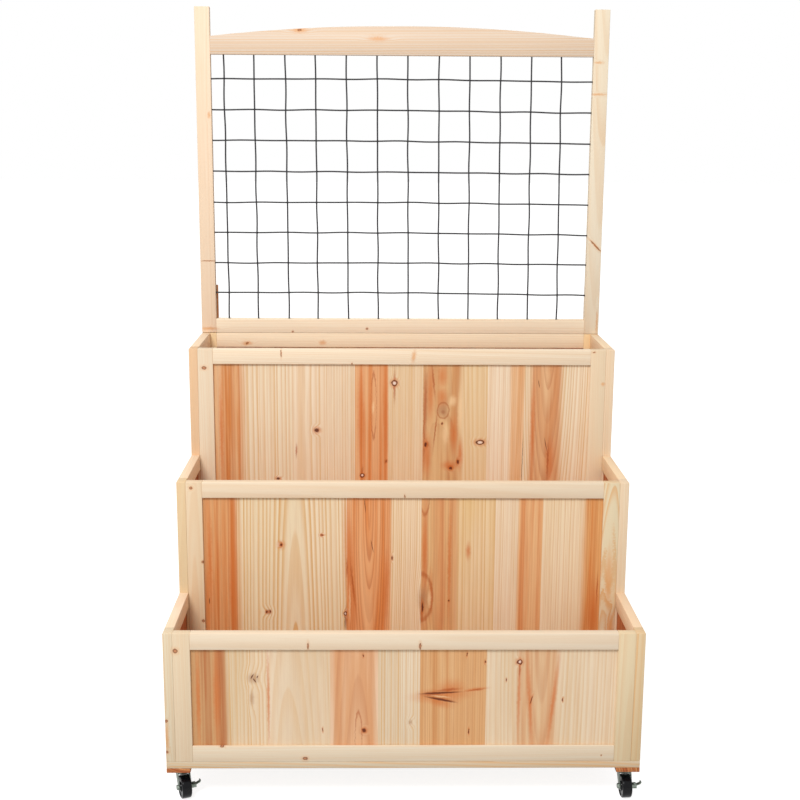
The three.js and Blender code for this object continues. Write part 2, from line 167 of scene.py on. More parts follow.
# %% Colours
def linear(red, green, blue):
    """A colour as it is seen on the screen, 0 to 255, in the shader's own linear light."""
    parts = (part / 255 for part in (red, green, blue))
    curve = (p / 12.92 if p <= 0.04045 else ((p + 0.055) / 1.055) ** 2.4 for p in parts)
    return (*curve, 1.0)

# %% A material whose nodes are added in one line each
class Shader:
    """A material with an empty node tree, and the methods that fill it."""

    def __init__(self, name):
        self.material = bpy.data.materials.new(name)
        self.material.use_nodes = True
        self.tree = self.material.node_tree
        self.tree.nodes.clear()

    def add(self, kind, settings=None, inputs=None, output=None):
        """Add a node: first its settings, then its sockets, by name or by number."""
        node = self.tree.nodes.new(kind)
        for name, setting in (settings or {}).items():
            setattr(node, name, setting)
        for name, value in (inputs or {}).items():
            found = [socket for socket in node.inputs if socket.enabled]
            if isinstance(name, int):
                found = found[name]
            else:
                found = next(socket for socket in found if socket.name == name)
            if isinstance(value, Value):
                self.tree.links.new(value.socket, found)
            elif found.type == "VECTOR" and isinstance(value, (int, float)):
                found.default_value = (value,) * 3
            else:
                found.default_value = value
        outputs = [s for s in node.outputs if s.enabled and output in (None, s.name)]
        return Value(self, outputs[0])

    def place(self):
        """Where the surface is, in metres. Every piece's object sits at the origin."""
        return self.add("ShaderNodeTexCoord", output="Object")

    def read(self, attribute, output="Vector"):
        """A value that the mesh itself carries, face by face."""
        settings = {"attribute_name": attribute}
        return self.add("ShaderNodeAttribute", settings, output=output)

    def noise(self, place, scale, detail=2.0, roughness=0.5, output="Fac"):
        inputs = {"Vector": place, "Scale": scale, "Detail": detail, "Roughness": roughness}
        return self.add("ShaderNodeTexNoise", {"noise_dimensions": "3D"}, inputs, output)

    def noise_along(self, distance, detail=1.0):
        """Noise that only changes with one number."""
        inputs = {"W": distance, "Scale": 1.0, "Detail": detail}
        return self.add("ShaderNodeTexNoise", {"noise_dimensions": "1D"}, inputs, "Fac")

    def mix(self, share, first, second, blend="MIX"):
        settings = {"data_type": "RGBA", "blend_type": blend}
        return self.add("ShaderNodeMix", settings, {"Factor": share, "A": first, "B": second})

    def layers(self, ground, *coats):
        """Lay colours over each other. Each coat is how much it covers, and its colour."""
        for share, colour in coats:
            ground = self.mix(share, ground, colour)
        return ground

    def bump(self, height, strength, distance):
        inputs = {"Strength": strength, "Distance": distance, "Height": height}
        return self.add("ShaderNodeBump", None, inputs)

    def finish(self, **looks):
        """End in one Principled shader, whose socket names are written with underscores."""
        inputs = {name.replace("_", " "): value for name, value in looks.items()}
        surface = self.add("ShaderNodeBsdfPrincipled", None, inputs)
        self.add_output(surface)
        return self.material

    def add_output(self, surface):
        end = self.tree.nodes.new("ShaderNodeOutputMaterial")
        self.tree.links.new(surface.socket, end.inputs["Surface"])

# %% [markdown]
# ## Timber that is cut out of a tree
# Grain isn't painted on a board: it is where the saw cut through the tree's growth rings. So
# every board here carries the line of its tree's pith, and the shader works out how far each
# point of its surface is from that line. Where this distance passes a whole number of ring
# widths there is a line of dark late wood. Straight grain, the arches of a flat-sawn board
# and the curved rings of end grain then all follow by themselves, on all six sides, and meet
# at the edges. Leaning the pith against the board makes the arches and the flames.

# %% What a board knows about its tree
# way: which way the grain runs. pith: a point on the pith. lean: how far the pith drifts
# sideways for each metre along the grain. rings: the width of a growth ring, in metres.
Tree = namedtuple("Tree", "way pith lean rings")


def mark_faces(piece, name, values):
    """Store a number or a vector for each face, under a name that a material can read."""
    numbers = isinstance(values[0], (int, float))
    kind = "FLOAT" if numbers else "FLOAT_VECTOR"
    attribute = piece.data.attributes.new(name, kind, "FACE")
    if numbers:
        attribute.data.foreach_set("value", values)
    else:
        attribute.data.foreach_set("vector", [part for value in values for part in value])


def mark_tree(piece, trees):
    """Store the tree that each face was cut from."""
    mark_faces(piece, "grain_way", [tree.way for tree in trees])
    mark_faces(piece, "pith_place", [tree.pith for tree in trees])
    mark_faces(piece, "pith_lean", [tree.lean for tree in trees])
    mark_faces(piece, "ring_width", [tree.rings for tree in trees])

# %% [markdown]
# A growth ring starts pale in spring, darkens through the summer and stops at once in winter.
# Seen across the rings that is a slow rise and a sharp fall, which is what tells wood from a
# set of even stripes. Good years are wide and poor ones narrow, and some summers leave a
# stronger line than others, so each ring gets its own width and strength from its number.

# %% Growth rings as nodes
class Timber(Shader):
    """A material of sawn softwood, whose boards carry their own trees."""

    WANDER = 0.006  # how far a ring strays from a true circle, in metres
    KNOT_SWELL = 0.009  # how far a knot pushes the rings aside

    def __init__(self, name):
        super().__init__(name)
        self.point = self.place()
        way = self.read("grain_way")
        offset = self.point - self.read("pith_place")
        along = offset.dot(way)
        height = self.point.dot(way)
        self.drawn_out = self.point - way * (height * 0.97)
        self.slow = self.point - way * (height * 0.82)
        wander = self.noise(self.slow, 9.0, 3.0, 0.5, "Color") - 0.5
        sideways = offset - way * along - self.read("pith_lean") * along
        self.radius = (sideways + wander * self.WANDER).length()

    def rings(self, knots=None):
        """Lines of dark late wood, from 0 to 1. Knots push them aside."""
        radius = self.radius
        if knots is not None:
            radius = radius + knots.fade(0.0, 3.4) * self.KNOT_SWELL
        count = radius / self.read("ring_width", "Fac")
        count = count + self.noise_along(count * 0.45) * 1.7
        year = count.floor()
        phase = count.fract()
        line = phase.smooth(0.2, 0.86) * phase.fade(0.9, 1.0)
        settings = {"noise_dimensions": "1D"}
        luck = self.add("ShaderNodeTexWhiteNoise", settings, {"W": year}, "Value")
        return line * (luck * 0.6 + 0.4)

    def bands(self, per_metre):
        """Broad bands, from 0 to 1, that follow the rings."""
        return self.noise_along(self.radius * per_metre, 2.0)

    def fibres(self):
        """Fine streaks along the grain."""
        return self.noise(self.drawn_out, 380.0, 3.0, 0.6)

# %% [markdown]
# ## Knots
# A knot is a branch that the saw cut across. The nearest one matters and the rest don't, so
# the shader measures the distance to each in units of that mark's own size and keeps the
# smallest. All marks of one kind then share one colouring. Thin dark cracks, orange flames
# and grey blooms are measured the same way, only with other proportions.

# %% Distance to the nearest mark
# Millimetres: how far along the board's face and how high the middle is, the half width and
# half height, and how much the mark slants. The tables of marks hold rows of these numbers.
Mark = namedtuple("Mark", "x z across tall slant", defaults=(0.0,))
MARK_DEPTH = 30  # how deep into the wood a mark reaches
FAR_AWAY = 1000.0


def nearest_mark(wood, place, marks, across=X_AXIS, face=Vector()):
    """How far the surface is from the nearest of the marks, in sizes of that mark."""
    through = Z_AXIS.cross(across)
    nearest = FAR_AWAY
    for mark in starmap(Mark, marks):
        middle = (across * mark.x + Z_AXIS * mark.z) * MM + face
        reach = across * mark.across + Z_AXIS * mark.tall + through * MARK_DEPTH
        offset = place - middle
        if mark.slant and mark.across > mark.tall:
            offset = offset - offset.dot(across) * (Z_AXIS * mark.slant)
        elif mark.slant:
            offset = offset - offset.dot(Z_AXIS) * (across * mark.slant)
        size = Vector(abs(part) for part in reach) * MM
        nearest = (offset / size).length().smaller(nearest)
    return nearest

# %% [markdown]
# ## The wood of the frames
# The bars are pale sapwood, planed smooth. Close up it is never one colour: some bars lean
# to pink and some to yellow, the rings are a shade darker and warmer than the wood between,
# and there is a pin knot here and there.

# %% Colours and knots of the bars
LATE_WOOD = linear(219, 172, 120)
FRESH_CUT = linear(252, 230, 204)
KNOT_BROWN = linear(176, 96, 44)
KNOT_DARK = linear(96, 42, 16)
KNOT_HALO = linear(222, 158, 98)

TIER_FACES = {tier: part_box(f"{tier}_front_top_rail")[0].y for tier in TIERS}
TRELLIS_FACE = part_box("trellis_bottom_rail")[0].y

PIN_KNOTS = {
    TIER_FACES["lower"]: [
        (-474, 344, 5, 5), (-497, 188, 3, 3), (-382, 131, 4, 2.5), (-208, 103, 5, 3.5),
        (417, 109, 1.6, 1.6), (-200, 355, 1.8, 7), (32, 354, 2.2, 7), (-498, 118, 3, 3),
    ],
    TIER_FACES["middle"]: [
        (-468, 625, 3.5, 3.5), (-448, 315, 3.4, 3.4), (-446, 454, 3, 3), (3, 606, 1.4, 4),
    ],
    TIER_FACES["upper"]: [
        (-284, 884, 1.3, 8), (-118, 860, 1.5, 2), (451, 889, 3, 1.6), (-465, 849, 5.5, 4),
    ],
    TRELLIS_FACE: [
        (-480, 1075, 18, 1.0), (485, 1117, 13, 2.2, -1.0), (-272, 898, 2.2, 2.2),
        (-85, 906, 3, 2.4), (-387, 868, 3.5, 2.5, 0.5), (-248, 1631, 5, 2.5),
    ],
}
SOFT_KNOTS = {
    TIER_FACES["lower"]: [(-497, 150, 4, 30)],
    TIER_FACES["middle"]: [(462, 420, 7, 60), (470, 300, 8, 26)],
    TIER_FACES["upper"]: [(27, 878, 5, 14, 0.15), (475, 813, 4.5, 4.5)],
    TRELLIS_FACE: [
        (-483, 905, 22, 4), (485, 1117, 12, 5, -1.0), (495, 925, 2, 30), (-387, 868, 13, 5),
        (-197, 870, 9, 6), (-248, 1631, 20, 7), (-59, 1612, 24, 5), (476, 1485, 22, 3),
        (476, 1560, 10, 3), (-470, 1430, 4, 8),
    ],
}

# %% The pale material
def all_marks(wood, place, by_face):
    """The nearest mark of several faces that all look to the front."""
    nearest = FAR_AWAY
    for face_y, marks in by_face.items():
        nearest = nearest_mark(wood, place, marks, face=Y_AXIS * face_y).smaller(nearest)
    return nearest


def pale_timber():
    """Planed sapwood with small knots."""
    wood = Timber("planed_sapwood")
    wobble = (wood.noise(wood.point, 240.0, 2.0, 0.5, "Color") - 0.5) * 0.003
    pins = all_marks(wood, wood.point + wobble, PIN_KNOTS)
    soft = all_marks(wood, wood.point + wobble * 2, SOFT_KNOTS)
    rings = wood.rings(pins.smaller(soft + 0.6))
    fibres = wood.fibres()

    patches = wood.noise(wood.slow, 6.0, 2.0)
    rim = pins.smooth(0.35, 0.8) * pins.fade(0.85, 1.2)
    colour = wood.layers(
        wood.read("bar_tone", "Color"),
        (patches.smooth(0.35, 0.8) * 0.3, FRESH_CUT),
        (wood.bands(70.0).smooth(0.45, 0.75) * 0.22, LATE_WOOD),
        (rings * wood.read("ring_contrast", "Fac"), LATE_WOOD),
        (fibres.smooth(0.35, 0.8) * 0.12, LATE_WOOD),
        (soft.fade(0.2, 1.6) * 0.7, KNOT_HALO),
        (pins.fade(0.9, 2.6) * 0.35, KNOT_HALO),
        (pins.fade(0.55, 1.2) * 0.72, KNOT_BROWN),
        (rim * 0.7, KNOT_DARK),
    )
    height = fibres * 0.5 - rings * 0.5 - pins.fade(0.6, 1.2)
    return wood.finish(
        Base_Color=colour,
        Roughness=0.56 + fibres * 0.14,
        Specular_IOR_Level=0.32,
        Normal=wood.bump(height, 0.35, 0.00025),
    )


PALE_TIMBER = pale_timber()
print("the pale timber has", len(PALE_TIMBER.node_tree.nodes), "nodes")

# %% [markdown]
# ## Selecting by place
# The modelling below is what hands would do: add, select, extrude, inset, bevel. In a script
# there is no mouse, so faces and edges are selected by asking each one a question about where
# it is or which way it faces. Everything is deselected first, because the loaded model isn't.

# %% Small tools that select
def only(piece):
    """Select one object and make it the active one."""
    if bpy.context.mode != "OBJECT":
        bpy.ops.object.mode_set(mode="OBJECT")
    bpy.ops.object.select_all(action="DESELECT")
    piece.select_set(True)
    bpy.context.view_layer.objects.active = piece
    return piece


def pick_faces(piece, wanted):
    """Enter edit mode with the faces selected for which wanted(face) is true."""
    start_picking(piece, "FACE")
    for face in piece.data.polygons:
        face.select = wanted(face)
    bpy.ops.object.mode_set(mode="EDIT")


def pick_edges(piece, wanted):
    """Enter edit mode with the edges selected for which wanted(one end, other end) is true."""
    start_picking(piece, "EDGE")
    for edge in piece.data.edges:
        edge.select = wanted(*(piece.data.vertices[index].co for index in edge.vertices))
    bpy.ops.object.mode_set(mode="EDIT")


def start_picking(piece, kind):
    only(piece)
    bpy.ops.object.mode_set(mode="EDIT")
    bpy.ops.mesh.select_mode(type=kind)
    bpy.ops.mesh.select_all(action="DESELECT")
    bpy.ops.object.mode_set(mode="OBJECT")

# %% Small tools that finish a mesh
def apply_place(piece):
    """Put the piece's place, turn and size into its mesh, so that it sits at the origin."""
    only(piece)
    bpy.ops.object.transform_apply(location=True, rotation=True, scale=True)
    return piece


def apply_modifier(piece, kind, **settings):
    """Add a modifier with its settings, and apply it."""
    only(piece)
    modifier = piece.modifiers.new(kind.lower(), kind)
    for name, setting in settings.items():
        setattr(modifier, name, setting)
    bpy.ops.object.modifier_apply(modifier=modifier.name)


def ease_edges(piece, width, segments=2):
    """Round every sharp edge, as a plane or a press leaves it."""
    settings = {"limit_method": "ANGLE", "angle_limit": radians(40)}
    apply_modifier(piece, "BEVEL", width=width, segments=segments, **settings)


def shade(piece, angle=30):
    """Shade smoothly across the shallow edges only."""
    only(piece)
    bpy.ops.object.mode_set(mode="EDIT")
    bpy.ops.mesh.select_all(action="SELECT")
    bpy.ops.mesh.normals_make_consistent(inside=False)
    bpy.ops.object.mode_set(mode="OBJECT")
    bpy.ops.object.shade_smooth_by_angle(angle=radians(angle))
    return piece

# %% Copying a node, and standing in for it
def clean_copy(node, name):
    """A copy of a node of the model, merged from loose triangles into whole flat faces."""
    piece = bpy.data.objects.new(name, frame["nodes"][node].data.copy())
    piece.data.name = name
    piece.data.materials.clear()
    bpy.context.scene.collection.objects.link(piece)
    only(piece)
    bpy.ops.object.mode_set(mode="EDIT")
    bpy.ops.mesh.select_all(action="SELECT")
    bpy.ops.mesh.remove_doubles(threshold=0.00001)
    bpy.ops.mesh.dissolve_limited(angle_limit=radians(1))
    bpy.ops.object.mode_set(mode="OBJECT")
    return piece


def stand_for(piece, node):
    """The piece is shown in place of its node, and rides as the node does."""
    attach(piece, BODY_OF[node])
    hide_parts(node)


SLOT_OF = {part["node"]: part["material_slot"] for part in frame["record"]["subparts"]}
BODIES = frame["record"]["behaviour"]["bodies"]
BODY_OF = {node: body for body, nodes in BODIES.items() for node in nodes}


def nodes_of(material):
    """The nodes of the model that are made of one material."""
    return [node for node, slot in SLOT_OF.items() if slot == material]

# %% [markdown]
# ## Planing the bars
# The nodes of the model already have the grooves and slots of the real joinery, so each bar
# starts as a clean copy of its node. What the copy lacks is the small round that planing
# leaves on every edge. It catches the light along the rims, and it opens the fine dark line
# that shows where two bars meet. Each bar then gets a tree and a tone of its own.

# %% Sizes and tones of the bars
EASED_EDGE = 1.1 * MM
RING_WIDTHS = (3.4, 6.0)
PITH_DISTANCES = (26, 95)
dice = random.Random(21)

USUAL_TONES = ((243, 217, 186), (245, 215, 184), (241, 216, 180), (246, 219, 190))
BAR_TONES = {
    "lower_front_top_rail": (235, 216, 190),
    "lower_front_bottom_rail": (226, 210, 185),
    "lower_front_left_stile": (227, 206, 175),
    "lower_front_right_stile": (225, 204, 164),
    "middle_front_top_rail": (235, 215, 187),
    "middle_front_left_stile": (228, 204, 171),
    "middle_front_right_stile": (219, 202, 165),
    "upper_front_top_rail": (244, 225, 198),
    "upper_front_left_stile": (227, 208, 181),
    "upper_front_right_stile": (227, 204, 171),
    "back_top_rail": (246, 227, 197),
    "trellis_bottom_rail": (246, 230, 204),
    "trellis_arched_rail": (219, 201, 183),
    "trellis_left_post": (241, 215, 187),
    "trellis_right_post": (237, 223, 198),
    "left_side_lower_stile": (225, 210, 181),
    "right_side_lower_stile": (218, 191, 147),
    "left_side_middle_stile": (226, 199, 157),
    "left_side_upper_stile": (228, 189, 149),
    "right_side_middle_stile": (228, 205, 173),
    "right_side_upper_stile": (229, 203, 170),
    "base_board": (209, 193, 166),
    "back_left_stile": (232, 204, 158),
    "back_right_stile": (236, 204, 156),
}
RING_CONTRASTS = {
    "trellis_arched_rail": 0.7, "middle_front_right_stile": 1.0, "base_board": 0.95,
    "right_side_lower_stile": 0.9,
}
PLAIN_CONTRASTS = (0.16, 0.4)
# A fine gap shows where the trellis stands on the tier below it.
FOOT_GAPS = {"trellis_left_post": 1.2, "trellis_right_post": 0.8, "trellis_bottom_rail": 0.6}
# Three bars were cut close to the pith, and show it.
SPECIAL_TREES = {
    node: Tree(way, Vector(pith) * MM, Vector(lean), rings * MM)
    for node, way, pith, lean, rings in (
        ("middle_front_right_stile", Z_AXIS, (462, -112, 440), (0.03, 0.05, 0), 4.2),
        ("trellis_arched_rail", X_AXIS, (0, 380, 1500), (0, 0, 0.012), 6.2),
        ("base_board", X_AXIS, (0, -200, 20), (0, 0.02, 0.01), 3.6),
    )
}

# %% A tree for each bar
def grown_tree(node):
    """A tree for a bar: the grain along its greatest length, the pith somewhere beside it."""
    low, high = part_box(node)
    size = high - low
    longest = max(range(3), key=lambda axis: size[axis])
    across, through = [AXES[axis] for axis in range(3) if axis != longest]
    turn = dice.uniform(0, 2 * pi)
    away = dice.uniform(*PITH_DISTANCES) * MM
    lean = across * dice.uniform(-0.02, 0.02) + through * dice.uniform(-0.02, 0.02)
    pith = (low + high) / 2 + (across * cos(turn) + through * sin(turn)) * away
    return Tree(AXES[longest], pith, lean, dice.uniform(*RING_WIDTHS) * MM)


def move_end(piece, facing, shift):
    """Move the outermost faces on one side of a piece, which makes it shorter or longer."""
    end = max(vertex.co.dot(facing) for vertex in piece.data.vertices) - NEAR
    pick_faces(piece, lambda face: face.normal.dot(facing) > 0.9 and face.center.dot(facing) > end)
    bpy.ops.transform.translate(value=shift)
    bpy.ops.object.mode_set(mode="OBJECT")

# %% Plane the bars
def planed_bar(node):
    """One bar or board of pale wood."""
    piece = clean_copy(node, f"planed_{node}")
    if node in FOOT_GAPS:
        move_end(piece, -Z_AXIS, Z_AXIS * FOOT_GAPS[node] * MM)
    ease_edges(piece, EASED_EDGE)
    tree = grown_tree(node)
    tone = dice.choice(USUAL_TONES)
    contrast = dice.uniform(*PLAIN_CONTRASTS)
    count = len(piece.data.polygons)
    mark_tree(piece, [SPECIAL_TREES.get(node, tree)] * count)
    mark_faces(piece, "bar_tone", [linear(*BAR_TONES.get(node, tone))[:3]] * count)
    mark_faces(piece, "ring_contrast", [RING_CONTRASTS.get(node, contrast)] * count)
    piece.data.materials.append(PALE_TIMBER)
    stand_for(shade(piece), node)


bars = nodes_of("pale_wood")
for node in bars:
    planed_bar(node)
print("planed", len(bars), "bars and boards")

# %% [markdown]
# ## Heartwood offcuts
# The runners under the base board and the cleats behind the posts are offcuts of the dark,
# reddish middle of the tree. They are small, but their colour is plain against the pale bars.

# %% Runners and cleats
RED_BROWN = linear(180, 98, 52)
RED_DARK = linear(112, 50, 22)
RED_PALE = linear(216, 148, 92)


def dark_timber():
    """Reddish-brown heartwood, sawn rather than planed."""
    wood = Timber("sawn_heartwood")
    rings = wood.rings()
    fibres = wood.fibres()
    colour = wood.layers(
        RED_BROWN,
        (wood.bands(90.0).smooth(0.35, 0.7), RED_PALE),
        (rings * 0.8, RED_DARK),
        (fibres.smooth(0.4, 0.85) * 0.3, RED_DARK),
    )
    return wood.finish(
        Base_Color=colour,
        Roughness=0.64 + fibres * 0.16,
        Specular_IOR_Level=0.3,
        Normal=wood.bump(fibres - rings * 0.4, 0.5, 0.0004),
    )


DARK_TIMBER = dark_timber()
print("the dark timber has", len(DARK_TIMBER.node_tree.nodes), "nodes")

# %% [markdown]
# Each cleat is screwed to the post and to the back stile with four countersunk screws. Their
# holes are sunk with a cone, a little wider than the head that will lie in it.

# %% Sink a screw hole
HEAD_WIDTH = 7.6
HEAD_DEPTH = 2.4
HOLE_PLAY = 0.5
SCREW_HEIGHTS = (800, 852, 940, 992)
# The photograph shows more of the left cleat beside its post, and less of the right one.
CLEAT_SHIFTS = {"left": 1.3, "right": 3.5}  # how far the inner side of each is moved to the right


def cone(radius, depth, place):
    """A cone for a countersunk head, with its wide end towards the back."""
    bpy.ops.object.select_all(action="DESELECT")
    turn = (-pi / 2, 0, 0)
    bpy.ops.mesh.primitive_cone_add(
        vertices=28, radius1=radius * 0.4 * MM, radius2=radius * MM, depth=depth * MM,
        rotation=turn,
    )
    piece = apply_place(bpy.context.object)
    piece.location = place
    return apply_place(piece)


def cut_away(piece, cutter):
    """Cut the shape of another object out of a piece, and remove that object."""
    apply_modifier(piece, "BOOLEAN", operation="DIFFERENCE", object=cutter)
    bpy.data.objects.remove(cutter)


def screw_places(node):
    """Where the four screws of a cleat enter its back face."""
    low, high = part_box(node)
    return [Vector(((low.x + high.x) / 2, high.y, height * MM)) for height in SCREW_HEIGHTS]

# %% Cut the offcuts
offcuts = nodes_of("heartwood")
for node in offcuts:
    offcut = clean_copy(node, f"sawn_{node}")
    if "cleat" in node:
        for place in screw_places(node):
            half_sunk = place - Y_AXIS * HEAD_DEPTH / 2 * MM
            cut_away(offcut, cone(HEAD_WIDTH / 2 + HOLE_PLAY, HEAD_DEPTH, half_sunk))
        side = node.removesuffix("_cleat")
        move_end(offcut, -X_AXIS * SIDES[side], X_AXIS * CLEAT_SHIFTS[side] * MM)
    ease_edges(offcut, EASED_EDGE * 0.6)
    mark_tree(offcut, [grown_tree(node)] * len(offcut.data.polygons))
    offcut.data.materials.append(DARK_TIMBER)
    stand_for(shade(offcut), node)
print("sawed", len(offcuts), "offcuts of heartwood")

# %% [markdown]
# ## Panels glued up from boards
# A panel is made of boards of many widths, glued edge to edge, and this is what the planter
# is known by: orange-red heartwood beside cream sapwood. A joint between two boards is a
# hard line, but inside one board the heartwood ends softly. So each board is described by
# where it ends, by the band of heartwood in it, and by the tree it came from. The panel's
# mesh is cut at every joint and each face is told its own board.

# %% What a board of a panel is
# Millimetres, from left to right as seen from the front. edge is where the board ends. band
# is where its heartwood starts and ends and how soft that is. lines is how strongly its
# rings show. pith is how far along and how far behind the face the middle of its tree lies
# at the given height, and lean is how much further behind it lies for each unit upwards.
Board = namedtuple("Board", "edge sap heart deep band lines rings pith level lean", defaults=(500, 0.0))

SAP = (236, 206, 172)
PINK_SAP = (238, 206, 176)
YELLOW_SAP = (232, 198, 152)
RED_HEART = (222, 158, 114)
RED_DEEP = (204, 112, 58)
TAN_HEART = (222, 166, 118)
TAN_DEEP = (198, 122, 74)
ORANGE_HEART = (228, 172, 128)
ORANGE_DEEP = (212, 138, 88)
NO_BAND = (900, 900, 1)
ALL_BAND = (-900, 900, 1)

# %% The boards of the front panels
UPPER_BOARDS = [
    Board(-258, (234, 215, 185), (230, 188, 142), (211, 134, 73), (-900, -377, 13),
          0.8, 8.4, (-640, 90)),
    Board(-111, (234, 211, 181), RED_HEART, RED_DEEP, NO_BAND,
          0.6, 5.4, (-238, 62)),
    Board(50, (231, 203, 165), (236, 184, 134), (218, 134, 73), (-900, -33, 2),
          0.5, 4.8, (-420, 60)),
    Board(203, (234, 206, 164), (228, 190, 138), (204, 141, 87), (-900, 141, 12),
          0.55, 9.5, (88, 44), 745, 0.04),
    Board(290, (242, 222, 195), (244, 211, 170), (226, 170, 118), (257, 900, 3),
          0.45, 4.8, (-250, 90)),
    Board(900, (235, 214, 182), (233, 191, 144), (214, 150, 100), (302, 378, 10),
          0.75, 6.4, (346, 26), 672, -0.09),
]
MIDDLE_BOARDS = [
    Board(-125, (236, 215, 179), (227, 173, 119), (209, 123, 61), (-900, -367, 11),
          0.9, 8.0, (-241, 32), 626, 0.042),
    Board(41, (239, 211, 174), (241, 187, 136), (223, 139, 77), (-900, -27, 3),
          0.95, 4.9, (-75, 20), 250, -0.07),
    Board(205, (228, 189, 127), (228, 182, 127), (218, 152, 99), (-900, 119, 9),
          0.75, 8.8, (-180, 90), 480, 0.02),
    Board(311, (237, 211, 178), (238, 191, 139), (223, 151, 96), (257, 900, 4),
          0.5, 4.8, (-250, 210)),
    Board(900, (238, 212, 174), (231, 178, 117), (215, 129, 63), (402, 900, 10),
          0.5, 4.9, (40, 170)),
]
LOWER_BOARDS = [
    Board(-285, (220, 195, 158), (210, 167, 117), (184, 114, 68), (-900, -374, 9),
          0.75, 7.8, (-640, 90)),
    Board(-155, (224, 198, 164), RED_HEART, RED_DEEP, NO_BAND,
          0.3, 8.0, (-240, 60), 240, 0.04),
    Board(-55, (238, 206, 176), (235, 189, 147), (221, 161, 114), (-151, -58, 10),
          0.5, 8.5, (-96, 60), 100, 0.03),
    Board(33, (221, 203, 174), RED_HEART, RED_DEEP, NO_BAND,
          0.7, 4.8, (-400, 100)),
    Board(171, (238, 206, 176), (230, 184, 132), (215, 157, 102), ALL_BAND,
          0.7, 5.1, (-350, 160)),
    Board(900, (229, 206, 174), (230, 197, 155), (220, 168, 123), (236, 322, 13),
          0.4, 9.0, (288, 22), 120, -0.08),
]

# %% The boards of the back and the sides
PLAIN_BOARDS = [
    Board(-320, SAP, RED_HEART, RED_DEEP, (-900, -350, 8), 0.6, 8.2, (-640, 120)),
    Board(-190, SAP, TAN_HEART, TAN_DEEP, ALL_BAND, 0.5, 7.2, (-240, 40), 500, 0.03),
    Board(-40, SAP, ORANGE_HEART, ORANGE_DEEP, (-120, 900, 6), 0.5, 5.0, (-300, 90)),
    Board(110, SAP, RED_HEART, RED_DEEP, ALL_BAND, 0.6, 8.6, (40, 35), 500, -0.04),
    Board(240, YELLOW_SAP, TAN_HEART, TAN_DEEP, (-900, 190, 10), 0.5, 6.4, (400, 80)),
    Board(345, SAP, ORANGE_HEART, ORANGE_DEEP, ALL_BAND, 0.4, 5.4, (100, 140)),
    Board(900, SAP, RED_HEART, RED_DEEP, (380, 900, 8), 0.6, 7.4, (200, 70)),
]

# Heartwood boards stand where the side panels show inside the lower tiers. Their tones are darker than heartwood
# in the light: partly the wood, partly painted shade for the shadow inside the tiers.
HEART_WITH_PAINTED_SHADE = (198, 118, 70)
DEEP_WITH_PAINTED_SHADE = (158, 82, 42)
SIDE_BOARDS = [
    Board(-258, SAP, RED_HEART, RED_DEEP, NO_BAND, 0.6, 7.2, (-340, 60)),
    Board(-128, SAP, HEART_WITH_PAINTED_SHADE, DEEP_WITH_PAINTED_SHADE, ALL_BAND, 0.5, 6.0, (-20, 90)),
    Board(-16, PINK_SAP, RED_HEART, RED_DEEP, NO_BAND, 0.5, 5.0, (-60, 40), 300, 0.03),
    Board(116, SAP, HEART_WITH_PAINTED_SHADE, DEEP_WITH_PAINTED_SHADE, ALL_BAND, 0.5, 6.0, (300, 90)),
    Board(236, YELLOW_SAP, TAN_HEART, TAN_DEEP, (200, 900, 9), 0.6, 8.0, (180, 45), 600, 0.03),
    Board(900, SAP, RED_HEART, RED_DEEP, (300, 900, 9), 0.6, 7.4, (200, 90)),
]

# %% [markdown]
# The knots of the three front panels are in the places where they catch the eye: a few dark
# ones with an orange halo, a few with a pale middle and a black rim, and thin cracks. They
# are kept apart by kind, because each kind is coloured in its own way.

# %% Where the knots of the panels are
PanelMarks = namedtuple("PanelMarks", "dark ringed loops grey flames streaks pale cracks")

UPPER_MARKS = PanelMarks(
    dark=[
        (-202, 698, 5.6, 5.6), (-295, 579, 5, 3), (57, 664, 3, 7), (96, 715, 2, 3),
        (135, 621, 3, 6), (118, 605, 4, 4), (-37, 622, 2, 3),
    ],
    ringed=[(-18, 813, 6.4, 6.8), (-94, 587, 4.6, 5), (187, 669, 9.5, 5.5)],
    loops=[(-67, 758, 7, 84), (98, 747, 15, 21)],
    grey=[(98, 747, 15, 20)],
    flames=[
        (95, 780, 12, 28), (115, 612, 20, 12), (124, 690, 10, 44), (68, 790, 10, 80),
        (60, 640, 12, 56), (356, 620, 10, 60), (-98, 740, 9, 130), (-38, 740, 6, 130),
        # (-428, 700, 5, 150) is not a flame: it is painted shadow of the left stile along the panel's left edge
        (95, 830, 12, 34), (140, 640, 7, 40), (312, 700, 6, 130), (-428, 700, 5, 150),
    ],
    streaks=[
        (-18, 806, 3.6, 46), (55, 775, 6, 110), (-251, 648, 3, 20), (350, 625, 3, 60),
        (98, 743, 6, 6), (-37, 622, 5, 7), (-94, 592, 3, 22), (60, 664, 7, 9), (117, 607, 9, 7),
        (134, 622, 5, 9), (74, 820, 3, 50, -0.1), (80, 700, 2.4, 60, 0.1), (53, 720, 3, 150),
    ],
    pale=[(-68, 753, 3, 18), (120, 770, 11, 14), (138, 745, 7, 60), (104, 690, 8, 30)],
    cracks=[(289, 620, 0.7, 70, 0.01), (324, 812, 0.9, 10, -0.15), (344, 665, 0.9, 16, -0.2)],
)
